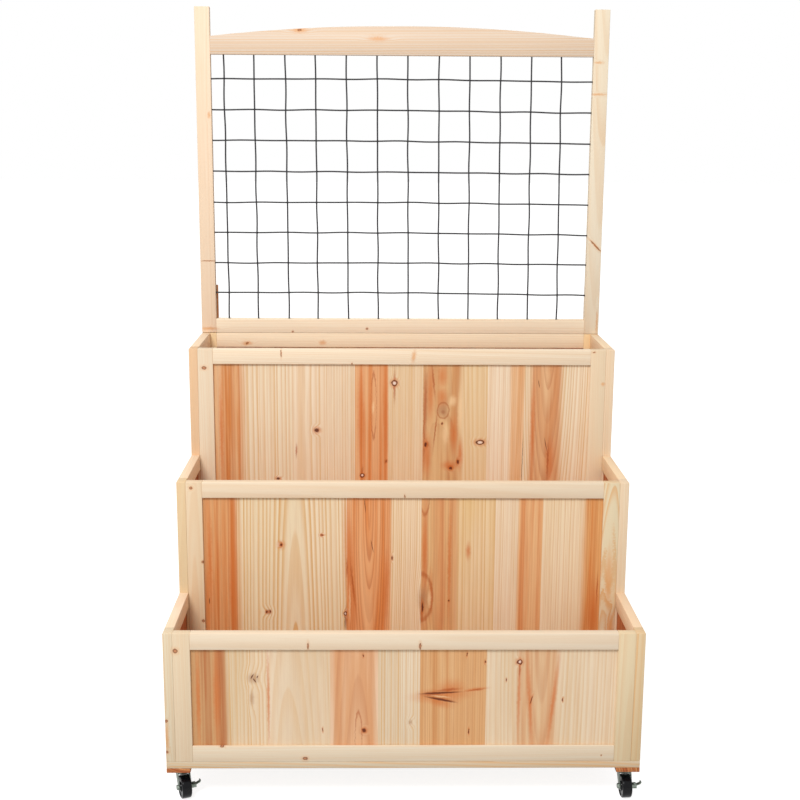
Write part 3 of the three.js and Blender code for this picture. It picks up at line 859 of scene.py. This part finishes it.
MIDDLE_MARKS = PanelMarks(
    dark=[
        (-272, 492, 2.8, 3.2), (-306, 334, 2.6, 3), (-298, 335, 2, 3), (-181, 515, 3, 2),
        (-24, 462, 1.6, 5), (104, 361, 1.4, 2), (45, 345, 2.4, 12),
    ],
    ringed=[(-129, 330, 3.4, 5)],
    loops=[(42, 370, 27, 60), (48, 616, 12, 58)],
    grey=[(46, 366, 14, 34), (46, 372, 6, 12), (-302, 334, 8, 7)],
    flames=[
        (-272, 492, 10, 11), (-111, 385, 6, 95, -0.1), (-38, 390, 8, 110, 0.05), (146, 478, 6, 20),
        (48, 480, 6, 90), (-181, 515, 6, 5), (-382, 400, 9, 130), (432, 330, 14, 80),
        # (-430, 440, 5, 160) is not a flame: it is painted shadow of the left stile along the panel's left edge
        (104, 450, 4, 160), (-119, 430, 13, 190, -0.04), (63, 372, 5, 62), (-430, 440, 5, 160),
    ],
    streaks=[
        (-125, 438, 2.4, 26), (-127, 318, 3.4, 40), (-272, 492, 4, 5), (438, 390, 2, 40),
        (-302, 334, 8, 6.5), (-181, 515, 5, 3.6), (-112, 400, 3, 60, -0.1), (43, 340, 5, 40),
    ],
    pale=[(-119, 356, 2.4, 50), (60, 365, 5, 22)],
    cracks=[
        (-85, 583, 0.9, 17, -0.1), (-69, 489, 0.9, 15, -0.2), (-434, 360, 1.0, 8),
        (-130, 312, 1.0, 22),
    ],
)
LOWER_MARKS = PanelMarks(
    dark=[
        (-84, 164, 4.5, 5), (-171, 165, 1.2, 4), (136, 161, 1.2, 6), (130, 334, 1.2, 5),
        (168, 317, 1.8, 3), (266, 232, 1.4, 9, 0.3), (332, 232, 1.4, 4), (213, 277, 1.3, 3),
        (-86, 331, 1.2, 3),
    ],
    ringed=[(240, 317, 5.4, 5.4)],
    loops=[(-96, 150, 8, 60)],
    grey=[(-315, 281, 14, 13), (13, 182, 5, 7), (-318, 236, 5, 20)],
    flames=[
        (-284, 236, 3, 110), (240, 250, 3.8, 105), (78, 243, 58, 15, 0.08), (96, 250, 30, 26, 0.1),
        (145, 255, 28, 4, 0.15), (70, 231, 30, 13, -0.3), (263, 225, 5, 110, -0.07),
        # (-430, 240, 5, 120) is not a flame: it is painted shadow of the left stile along the panel's left edge
        (312, 225, 5, 110, 0.1), (-392, 240, 8, 120), (-430, 240, 5, 120),
    ],
    streaks=[
        (58, 246, 26, 6, 0.05), (92, 255, 30, 4, 0.12), (84, 233, 26, 3.4, -0.2),
        (240, 300, 2.4, 22), (150, 255, 24, 2.4, 0.15), (-84, 164, 6.5, 8), (240, 317, 8, 4),
    ],
    pale=[(76, 240, 22, 2.2, -0.12)],
    cracks=[
        (76, 248, 44, 2.2, 0.05), (76, 233, 33, 2.6, -0.2), (-317, 285, 1.6, 6, 0.5),
        (-312, 276, 1.6, 5, -0.6), (-306, 284, 1.4, 3, 0.4),
    ],
)
PLAIN_MARKS = PanelMarks(
    dark=[(-300, 560, 5, 5), (60, 700, 5, 4), (250, 240, 4, 5)],
    ringed=[(-80, 420, 6, 8)],
    loops=[(-80, 430, 9, 60)],
    grey=[(180, 520, 10, 15)],
    flames=[(-80, 420, 4, 45), (180, 540, 6, 40)],
    streaks=[(-300, 560, 3, 22), (60, 700, 3, 26)],
    pale=[(-80, 470, 3, 20)],
    cracks=[(220, 330, 0.8, 20)],
)

# %% [markdown]
# The colour is laid down as a finisher would describe it: the wood first, sap or heart with its
# rings, then the orange flames of resin together with a thin orange strip of painted shadow along
# each front panel's left edge, where the stile shades it, the grey blooms, and last the knots and
# cracks, which are dark and cover what is under them.

# %% Colours of the panels
SAP_LINE = linear(216, 163, 98)
SAP_PALE = linear(252, 232, 206)
RESIN_PALE = linear(244, 208, 160)
HEART_LINE = linear(172, 84, 38)
# The orange of resin flames and knot halos, also used for the painted shadow beside the left stiles.
FLAME_AND_SHADE = linear(206, 108, 44)
STREAK = linear(172, 80, 30)
KNOT_BLACK = linear(88, 34, 12)
KNOT_GREY = linear(172, 124, 88)
KNOT_PALE = linear(238, 226, 214)

# %% The material of a panel
def glued_timber(name, marks, across, face):
    """The material of one panel: boards of two tones, with marks in their own places."""
    wood = Timber(name)
    wobble = (wood.noise(wood.point, 150.0, 3.0, 0.6, "Color") - 0.5) * 0.005
    place = wood.point + wobble
    dark, ringed, loops, grey, flames, streaks, pale = (
        nearest_mark(wood, place, group, across, face) for group in marks[:-1]
    )
    cracks = nearest_mark(wood, wood.point + wobble * 0.35, marks.cracks, across, face)
    rings = wood.rings(dark.smaller(ringed).smaller(grey + 0.3))
    fibres = wood.fibres()
    bands = wood.bands(55.0)
    patches = wood.noise(wood.slow, 8.0, 3.0)
    ribbons = wood.noise(wood.drawn_out, 62.0, 4.0, 0.6)

    band = {side: wood.add("ShaderNodeSeparateXYZ", None, {"Vector": wood.read("heart_band")}, side)
            for side in "XYZ"}
    stray = (wood.noise(wood.slow, 14.0, 3.0) - 0.5) * band["Z"] * 1.6
    along = wood.point.dot(wood.read("board_across"))
    inside = (along - band["X"]).smaller(band["Y"] - along) + stray
    heart = (inside / band["Z"]).smooth(-1.0, 1.0)
    rim = inside.smooth(0.0, 0.007) * inside.fade(0.01, 0.03)

    contrast = wood.read("ring_contrast", "Fac")
    sap = wood.layers(
        wood.read("sap_tone", "Color"),
        (bands.smooth(0.5, 0.8) * 0.25, SAP_LINE),
        (patches.smooth(0.35, 0.75) * 0.5, SAP_PALE),
        (ribbons.smooth(0.45, 0.7) * 0.22, SAP_LINE),
        (rings * contrast, SAP_LINE),
    )
    deepness = bands.smooth(0.38, 0.66) * 0.55 + rim * 0.32 + ribbons.smooth(0.42, 0.62) * 0.5
    heartwood = wood.layers(
        wood.read("heart_tone", "Color"),
        (deepness.smaller(1.0), wood.read("deep_tone", "Color")),
        (rings * contrast * 0.46, HEART_LINE),
    )
    outline = loops.smooth(0.74, 0.92) * loops.fade(0.94, 1.08) * heart
    hoop = ringed.smooth(0.55, 0.8) * ringed.fade(1.0, 1.25)
    colour = wood.layers(
        sap,
        (heart, heartwood),
        (fibres.smooth(0.35, 0.85) * 0.12, HEART_LINE),
        # Resin flames, and along each front panel's left edge a strip of painted shadow from the stile.
        (flames.fade(0.0, 1.5) * 0.72, FLAME_AND_SHADE),
        (streaks.fade(0.1, 1.25) * 0.75, STREAK),
        (outline * 0.55, STREAK),
        (grey.fade(0.1, 1.3) * 0.6, KNOT_GREY),
        (dark.smaller(ringed).fade(0.9, 2.4) * 0.5, FLAME_AND_SHADE),
        (dark.fade(0.55, 1.2) * 0.92, KNOT_BLACK),
        (ringed.fade(0.3, 0.75) * 0.8, KNOT_PALE),
        (hoop * 0.92, KNOT_BLACK),
        (pale.fade(0.2, 1.3) * 0.6, RESIN_PALE),
        (cracks.fade(0.5, 1.25) * 0.9, KNOT_BLACK),
    )

    hollow = cracks.fade(0.5, 1.2) * 2 + dark.fade(0.6, 1.2)
    return wood.finish(
        Base_Color=colour,
        Roughness=0.6 + fibres * 0.14,
        Specular_IOR_Level=0.3,
        Normal=wood.bump(fibres * 0.5 - rings * 0.35 - hollow, 0.4, 0.0003),
    )

# %% [markdown]
# A plane that cuts the mesh at a joint is the bisect tool. It needs a point on the joint and
# the way to cut, and it leaves the faces on both sides whole. The same function serves the
# panels across the planter and the stepped ones at its sides, which only run the other way.

# %% Glue up a panel
def glued_panel(node, boards, marks, across, facing):
    """A panel cut into its boards, each with its own tree and its own tones."""
    piece = clean_copy(node, f"glued_{node}")
    low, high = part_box(node)
    for board in boards[:-1]:
        joint = board.edge * MM
        if low.dot(across) < joint < high.dot(across):
            pick_faces(piece, lambda face: True)
            bpy.ops.mesh.bisect(plane_co=across * joint, plane_no=across)
            bpy.ops.object.mode_set(mode="OBJECT")

    face_place = facing * ((low + high) / 2).dot(facing)
    chosen = []
    for face in piece.data.polygons:
        place = face.center.dot(across) / MM
        chosen.append(next(board for board in boards if place < board.edge))
    trees = []
    for board in chosen:
        pith = (across * board.pith[0] + Z_AXIS * board.level - facing * board.pith[1]) * MM
        trees.append(Tree(Z_AXIS, pith + face_place, -facing * board.lean, board.rings * MM))
    mark_tree(piece, trees)
    mark_faces(piece, "board_across", [across] * len(chosen))
    mark_faces(piece, "heart_band", [Vector(board.band) * MM for board in chosen])
    mark_faces(piece, "ring_contrast", [board.lines for board in chosen])
    for tone in ("sap", "heart", "deep"):
        mark_faces(piece, f"{tone}_tone", [linear(*getattr(board, tone))[:3] for board in chosen])
    piece.data.materials.append(glued_timber(f"glued_{node}_wood", marks, across, face_place))
    stand_for(shade(piece), node)
    print(node, "is", len(set(chosen)), "boards")

# %% Make the six panels
glued_panel("upper_front_panel", UPPER_BOARDS, UPPER_MARKS, X_AXIS, -Y_AXIS)
glued_panel("middle_front_panel", MIDDLE_BOARDS, MIDDLE_MARKS, X_AXIS, -Y_AXIS)
glued_panel("lower_front_panel", LOWER_BOARDS, LOWER_MARKS, X_AXIS, -Y_AXIS)
glued_panel("back_panel", PLAIN_BOARDS, PLAIN_MARKS, X_AXIS, Y_AXIS)
glued_panel("left_side_panel", SIDE_BOARDS, PLAIN_MARKS, Y_AXIS, -X_AXIS)
glued_panel("right_side_panel", SIDE_BOARDS, PLAIN_MARKS, Y_AXIS, X_AXIS)

# %% [markdown]
# ## The welded grid
# The trellis is a welded wire mesh, coated black. The upright wires lie in front of the level
# ones, and the welds squash them together a little. Such a mesh comes off a roll, so no wire
# is quite straight: each one is drawn here through its own measured places, with a slight
# bow between its welds. A curve with a round section is the natural way to bend a wire.

# %% Black coating
WIRE_BLACK = linear(18, 18, 22)
WIRE_GREY = linear(38, 38, 42)


def coated_wire():
    """Glossy black coating, a little uneven, greyer where it is rubbed."""
    coating = Shader("black_coating")
    place = coating.place()
    rubs = coating.noise(place, 60.0, 3.0)
    pimples = coating.noise(place, 900.0, 2.0)
    return coating.finish(
        Base_Color=coating.mix(rubs.smooth(0.45, 0.8) * 0.6, WIRE_BLACK, WIRE_GREY),
        Roughness=0.34 + rubs * 0.25,
        Normal=coating.bump(pimples, 0.25, 0.0003),
    )

# %% Where the wires are
PITCH = 75
UPRIGHT_X = [-433 + PITCH * number for number in range(12)]
LEVEL_Z = [991 + PITCH * number for number in range(8)]
# Where each wire really is, beside its true place: at the foot and the top of an upright
# one, and at the left, the middle and the right of a level one.
UPRIGHT_STRAY = [(2, 0), (0, -2), (2, -1), (0, -3), (1, -3), (1, -3), (2, -4), (3, -3), (3, -3),
                 (3, -3), (3, -3), (2, -5)]
LEVEL_STRAY = [(4, 5, 0), (3, 5, 2), (4, 5, 1), (3, 5, 1), (4, 4, 1), (4, 4, 0), (2, 3, -1), (0, 2, -2)]
UPRIGHT_RADIUS = 1.9
LEVEL_RADIUS = 1.85
BOW = 0.9  # how far a wire bows between two welds
STEPS = 4  # points drawn from one weld to the next
grid_low, grid_high = (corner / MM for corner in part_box("wire_grid"))
grid_y = (grid_low.y + grid_high.y) / 2
# The wires cross at half their thickness each way, and are pressed together by the weld.
UPRIGHT_Y = grid_y - 1.5
LEVEL_Y = grid_y + 1.5


def bow(place, wire):
    """A gentle wave that is different on each wire."""
    return BOW * sin(pi * place / PITCH + wire * 2.4) * sin(place / 190 + wire * 1.7)


def upright_place(wire, z):
    share = (z - grid_low.z) / (grid_high.z - grid_low.z)
    foot, top = UPRIGHT_STRAY[wire]
    return UPRIGHT_X[wire] + foot + (top - foot) * share + bow(z, wire)


def level_place(wire, x):
    left, middle, right = LEVEL_STRAY[wire]
    share = abs(x) / grid_high.x
    end = right if x > 0 else left
    return LEVEL_Z[wire] + middle + (end - middle) * share + bow(x, wire + 5)

# %% Draw the wires
def drawn_wire(name, points, radius):
    """A round wire through the points, made a mesh."""
    bpy.ops.object.select_all(action="DESELECT")
    line = bpy.data.curves.new(name, "CURVE")
    line.dimensions = "3D"
    line.bevel_depth = radius * MM
    line.bevel_resolution = 2
    line.use_fill_caps = True
    spline = line.splines.new("POLY")
    spline.points.add(len(points) - 1)
    for knot, point in zip(spline.points, points):
        knot.co = (*(Vector(point) * MM), 1)
    wire = bpy.data.objects.new(name, line)
    bpy.context.scene.collection.objects.link(wire)
    only(wire)
    bpy.ops.object.convert(target="MESH")
    return wire


def spaced(start, end, step):
    """Places from start to end, as near to one step apart as fits."""
    count = round((end - start) / step)
    return [start + (end - start) * number / count for number in range(count + 1)]


wires = []
for number in range(len(UPRIGHT_X)):
    heights = spaced(grid_low.z, grid_high.z, PITCH / STEPS)
    points = [(upright_place(number, z), UPRIGHT_Y, z) for z in heights]
    wires.append(drawn_wire(f"upright_wire_{number}", points, UPRIGHT_RADIUS))
for number in range(len(LEVEL_Z)):
    places = spaced(grid_low.x, grid_high.x, PITCH / STEPS)
    points = [(x, LEVEL_Y, level_place(number, x)) for x in places]
    wires.append(drawn_wire(f"level_wire_{number}", points, LEVEL_RADIUS))
print("drew", len(wires), "wires")

# %% [markdown]
# Where two wires cross they were squeezed and melted together, and the coating has run into
# the corner. A small flattened bead at each crossing does this. There are ninety-six, so the
# bead is made once, with few faces, and copied.

# %% Weld the crossings
bpy.ops.object.select_all(action="DESELECT")
bpy.ops.mesh.primitive_cube_add(size=4.6 * MM)
bead = bpy.context.object
apply_modifier(bead, "SUBSURF", levels=2, render_levels=2)
bead.scale = (1.0, 1.15, 1.0)
apply_place(bead)
for upright in range(len(UPRIGHT_X)):
    for level in range(len(LEVEL_Z)):
        copy = bpy.data.objects.new("bead", bead.data.copy())
        bpy.context.scene.collection.objects.link(copy)
        x = upright_place(upright, LEVEL_Z[level])
        copy.location = Vector((x, grid_y, level_place(level, x))) * MM
        wires.append(copy)
bpy.data.objects.remove(bead)
only(wires[0])
for wire in wires:
    wire.select_set(True)
bpy.ops.object.join()
grid = apply_place(wires[0])
grid.name = "welded_grid"
grid.data.materials.clear()
grid.data.materials.append(coated_wire())
stand_for(shade(grid, 45), "wire_grid")
print("the grid has", len(grid.data.polygons), "faces")

# %% [markdown]
# ## Casters
# Each caster is a pressed steel fork that turns on a plate, with a hard black wheel between
# its legs. The steel is zinc plated: a dull, slightly green silver that is blotchy close up.
# The pressed parts are clean copies of their nodes with softened edges, because sheet steel
# has no sharp corners. The wheel is round and shiny, so it is turned afresh with far more
# sides than the model's.

# %% Zinc and plastic
ZINC_BRIGHT = linear(140, 149, 140)
ZINC_DULL = linear(84, 93, 84)
PLASTIC_BLACK = linear(12, 12, 15)
PLASTIC_DUST = linear(40, 39, 38)


def zinc_plate():
    """Plated steel, blotchy and lightly scratched."""
    metal = Shader("zinc_plate")
    place = metal.place()
    blotches = metal.noise(place, 140.0, 4.0, 0.6)
    scratches = metal.noise(place * Vector((1, 1, 14)), 300.0, 2.0)
    return metal.finish(
        Base_Color=metal.mix(blotches.smooth(0.3, 0.7), ZINC_DULL, ZINC_BRIGHT),
        Metallic=0.9,
        Roughness=0.3 + blotches * 0.2 + scratches * 0.12,
        Normal=metal.bump(blotches + scratches * 0.4, 0.2, 0.0002),
    )


def wheel_plastic():
    """Hard black plastic, dusty where it rolls."""
    plastic = Shader("wheel_plastic")
    place = plastic.place()
    wear = plastic.noise(place, 220.0, 4.0, 0.6)
    return plastic.finish(
        Base_Color=plastic.mix(wear.smooth(0.5, 0.8) * 0.35, PLASTIC_BLACK, PLASTIC_DUST),
        Roughness=0.12 + wear * 0.2,
        Specular_IOR_Level=0.16,
        Normal=plastic.bump(wear, 0.15, 0.0002),
    )


ZINC = zinc_plate()
PLASTIC = wheel_plastic()

# %% [markdown]
# The wheel starts as a cylinder on its side. Insets on both end faces make the rim, the
# sunken disc and the raised hub, and the faces left in the middle are removed and bridged to
# make the bore. The corners of the tread are rounded last, because a moulded wheel has a
# full shoulder.

# %% Turn a wheel
WHEEL_RADIUS = 25
TREAD_WIDTH = 21
SHOULDER = 3.2
# Each step goes in by so much from the last edge, and then down or up by so much.
WHEEL_STEPS = [(4.2, 0), (0.9, -1.9), (9.4, 0), (0.6, 3.0), (2.4, 0), (0.5, -0.8)]
BORE = 3.3


def off_axis(point):
    """How far a point is from the wheel's axis."""
    return hypot(point.y, point.z)


bpy.ops.object.select_all(action="DESELECT")
bpy.ops.mesh.primitive_cylinder_add(
    vertices=72, radius=WHEEL_RADIUS * MM, depth=TREAD_WIDTH * MM, rotation=(0, pi / 2, 0)
)
wheel = apply_place(bpy.context.object)
wheel.name = "turned_wheel"
for inward, outward in WHEEL_STEPS:
    pick_faces(wheel, lambda face: len(face.vertices) > 4)
    bpy.ops.mesh.inset(thickness=inward * MM, depth=outward * MM)
    bpy.ops.object.mode_set(mode="OBJECT")
last_edge = max(
    off_axis(wheel.data.vertices[index].co)
    for face in wheel.data.polygons if len(face.vertices) > 4
    for index in face.vertices
)
pick_faces(wheel, lambda face: len(face.vertices) > 4)
bpy.ops.mesh.inset(thickness=last_edge - BORE * MM)
bpy.ops.mesh.delete(type="FACE")
bpy.ops.object.mode_set(mode="OBJECT")
pick_edges(wheel, lambda a, b: max(off_axis(a), off_axis(b)) < BORE * MM + NEAR)
bpy.ops.mesh.bridge_edge_loops()
bpy.ops.object.mode_set(mode="OBJECT")
print("the wheel's bore starts from an edge of radius", round(last_edge / MM, 2), "mm")

# %% Round its shoulders
WHEEL_EDGE = 0.35 * MM


def on_corner(point):
    """Whether a point is where the tread meets an end face."""
    at_end = abs(abs(point.x) - TREAD_WIDTH / 2 * MM) < NEAR
    return at_end and off_axis(point) > WHEEL_RADIUS * MM - NEAR


pick_edges(wheel, lambda a, b: on_corner(a) and on_corner(b) and a.x * b.x > 0)
bpy.ops.mesh.bevel(offset=SHOULDER * MM, segments=5)
bpy.ops.object.mode_set(mode="OBJECT")
ease_edges(wheel, WHEEL_EDGE)
wheel.data.materials.append(PLASTIC)
shade(wheel)
print("the wheel has", len(wheel.data.polygons), "faces")

# %% [markdown]
# The crown of the fork is a pressed cup: its front rim is folded down over the wheel. Here
# that rim is a piece of a tube. The tube is opened, all but its front is cut away, and what
# is left gets the thickness of the sheet.

# %% Fold the rim of the crown
APRON_RADIUS = 20
APRON_TOP, APRON_FOOT = 60.2, 51.4
APRON_HALF_ANGLE = 38
SHEET = 1.5

bpy.ops.object.select_all(action="DESELECT")
bpy.ops.mesh.primitive_cylinder_add(
    vertices=90, radius=APRON_RADIUS * MM, depth=(APRON_TOP - APRON_FOOT) * MM,
    end_fill_type="NOTHING", location=(0, 0, (APRON_TOP + APRON_FOOT) / 2 * MM),
)
apron = apply_place(bpy.context.object)
apron.name = "apron"
behind = -APRON_RADIUS * cos(radians(APRON_HALF_ANGLE)) * MM
pick_faces(apron, lambda face: face.center.y > behind)
bpy.ops.mesh.delete(type="FACE")
bpy.ops.object.mode_set(mode="OBJECT")
apply_modifier(apron, "SOLIDIFY", thickness=SHEET * MM, offset=-1.0)
ease_edges(apron, 0.4 * MM)
apron.data.materials.append(ZINC)
shade(apron)
print("the apron has", len(apron.data.polygons), "faces")

# %% [markdown]
# A pan head screw holds each corner of a caster's plate. Its head hangs under the plate, a
# low dome with a cross for the driver. The cross is cut out with two small blocks.

# %% Make one screw of each kind
HEAD_RADIUS = 4.2
HEAD_HEIGHT = 1.8
CROSS_CUT = (5.2, 1.1, 1.2)


def cut_cross(piece, face_place, facing):
    """Cut the cross for the driver into a screw's head."""
    for turn in (0, pi / 2):
        bpy.ops.object.select_all(action="DESELECT")
        bpy.ops.mesh.primitive_cube_add(size=MM, location=face_place)
        block = bpy.context.object
        block.scale = CROSS_CUT
        block.rotation_euler = facing.to_track_quat("Z", "X").to_euler()
        block.rotation_euler.rotate_axis("Z", turn)
        cut_away(piece, apply_place(block))


bpy.ops.object.select_all(action="DESELECT")
bpy.ops.mesh.primitive_cylinder_add(
    vertices=28, radius=HEAD_RADIUS * MM, depth=HEAD_HEIGHT * MM,
    location=(0, 0, -HEAD_HEIGHT / 2 * MM),
)
screw = apply_place(bpy.context.object)
screw.name = "pan_head_screw"
pick_edges(screw, lambda a, b: a.z < -0.9 * HEAD_HEIGHT * MM and b.z < -0.9 * HEAD_HEIGHT * MM)
bpy.ops.mesh.bevel(offset=1.1 * MM, segments=4)
bpy.ops.object.mode_set(mode="OBJECT")
cut_cross(screw, -Z_AXIS * HEAD_HEIGHT * MM, -Z_AXIS)
sunk_screw = cone(HEAD_WIDTH / 2, HEAD_DEPTH - HOLE_PLAY, -Y_AXIS * HEAD_DEPTH / 2 * MM)
sunk_screw.name = "countersunk_screw"
cut_cross(sunk_screw, -Y_AXIS * HOLE_PLAY / 2 * MM, Y_AXIS)
for piece in (screw, sunk_screw):
    piece.data.materials.append(ZINC)
    shade(piece)

# %% [markdown]
# A finished piece is copied, with a mesh of its own, turned and moved to its place, and the
# move is then put into the mesh. Each fork, wheel and lever rides on its own body, so the
# casters still swivel, roll and brake.

# %% Fit the forks, plates and wheels
def placed_copy(piece, name, place, turn=0.0):
    """A copy with its own mesh, turned about the vertical and moved."""
    copy = bpy.data.objects.new(name, piece.data.copy())
    bpy.context.scene.collection.objects.link(copy)
    copy.rotation_euler.z = turn
    copy.location = place
    return apply_place(copy)


PRESSED_EDGE = 0.4 * MM
PLATE_UNDERSIDE = 67.5
SCREW_PLACES = [(x, y) for x in (-17.5, 17.5) for y in (-24.5, 24.5)]
rolls, swivels = (
    {joint["child"]: joint for joint in frame["joints"] if joint["name"].startswith(kind)}
    for kind in ("roll", "swivel")
)

for node in nodes_of("zinc"):
    pressed = clean_copy(node, f"pressed_{node}")
    ease_edges(pressed, PRESSED_EDGE)
    pressed.data.materials.append(ZINC)
    stand_for(shade(pressed, 35), node)

for body, joint in rolls.items():
    corner = body.removeprefix("wheel_")
    axis = Vector(joint["axis"])
    turn = X_AXIS.angle(axis) * (-1 if axis.y < 0 else 1)
    turned = placed_copy(wheel, f"turned_wheel_{corner}", joint["pos_m"], turn)
    stand_for(turned, f"caster_wheel_{corner}")

# %% Fit the folded rims and the screws
for body, joint in swivels.items():
    corner = body.removeprefix("fork_")
    middle = Vector(joint["pos_m"])
    trail = Vector(rolls[f"wheel_{corner}"]["pos_m"]) - middle
    turn = (-Y_AXIS).xy.angle_signed(trail.xy)
    bent = placed_copy(apron, f"apron_{corner}", Vector((middle.x, middle.y, 0)), -turn)
    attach(bent, body)
    for number, (x, y) in enumerate(SCREW_PLACES):
        place = Vector((middle.x + x * MM, middle.y + y * MM, PLATE_UNDERSIDE * MM))
        fixed = placed_copy(screw, f"screw_{corner}_{number}", place, dice.uniform(0, pi))
        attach(fixed, "cabinet")
cleats = [node for node in SLOT_OF if "cleat" in node]
for node in cleats:
    for number, place in enumerate(screw_places(node)):
        fixed = placed_copy(sunk_screw, f"screw_{node}_{number}", place)
        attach(fixed, "cabinet")
for spare in (wheel, apron, screw, sunk_screw):
    bpy.data.objects.remove(spare)
print("fitted", len(rolls), "wheels and the screws of", len(swivels), "plates and", len(cleats), "cleats")

# %% [markdown]
# ## The room and the light
# The photograph is a studio picture on pure white, lit softly from the front and above. An
# even white world gives the soft part, and one large lamp, high and to the left behind the
# camera, gives the light a direction. The camera sees the world, and the floor under the
# planter, as plain white, and the floor still darkens a little where the planter shades it.

# %% Floor
FLOOR_SIZE = 60
FLOOR_GLOW = 0.84
FLOOR_TONE = (0.5, 0.5, 0.5, 1.0)


def seen_directly(shader):
    """1 for the camera and for what is seen in metal or glass, 0 for light on the object."""
    camera_ray, glossy_ray, transmission_ray = (
        shader.add("ShaderNodeLightPath", output=f"Is {kind} Ray")
        for kind in ("Camera", "Glossy", "Transmission")
    )
    return camera_ray.larger(glossy_ray).larger(transmission_ray)


bpy.ops.object.select_all(action="DESELECT")
bpy.ops.mesh.primitive_plane_add(size=FLOOR_SIZE)
floor = bpy.context.object
floor.name = "studio_floor"
paper = Shader("studio_paper")
glow = paper.mix(seen_directly(paper), (0, 0, 0, 1), (FLOOR_GLOW, FLOOR_GLOW, FLOOR_GLOW, 1))
floor.data.materials.append(
    paper.finish(
        Base_Color=FLOOR_TONE,
        Roughness=1.0,
        Specular_IOR_Level=0.0,
        Emission_Color=glow,
        Emission_Strength=1.0,
    )
)
print("the floor is", FLOOR_SIZE, "m wide")

# %% World and lamp
WORLD_LIGHT = 0.6
KEY_POWER = 210
KEY_SIZE = (2.0, 1.5)
KEY_PLACE = Vector((-1.5, -3.7, 4.5))
KEY_TARGET = Vector((0, 0, 0.7))


class World(Shader):
    """The same wrapper, round the world's node tree."""

    def __init__(self, name):
        self.world = bpy.data.worlds.new(name)
        self.world.use_nodes = True
        self.tree = self.world.node_tree
        self.tree.nodes.clear()

    def add_output(self, surface):
        end = self.tree.nodes.new("ShaderNodeOutputWorld")
        self.tree.links.new(surface.socket, end.inputs["Surface"])


studio = World("studio_world")
strength = WORLD_LIGHT + seen_directly(studio) * (1 - WORLD_LIGHT)
background = {"Color": (1, 1, 1, 1), "Strength": strength}
studio.add_output(studio.add("ShaderNodeBackground", None, background))
bpy.context.scene.world = studio.world

bpy.ops.object.light_add(type="AREA", location=KEY_PLACE)
key = bpy.context.object
key.name = "key_lamp"
key.data.shape = "RECTANGLE"
key.data.size, key.data.size_y = KEY_SIZE
key.data.energy = KEY_POWER
key.rotation_euler = (KEY_TARGET - KEY_PLACE).to_track_quat("-Z", "Y").to_euler()
bpy.context.scene.view_settings.view_transform = "Standard"
print("one lamp of", KEY_POWER, "W,", round((KEY_TARGET - KEY_PLACE).length, 1), "m away")
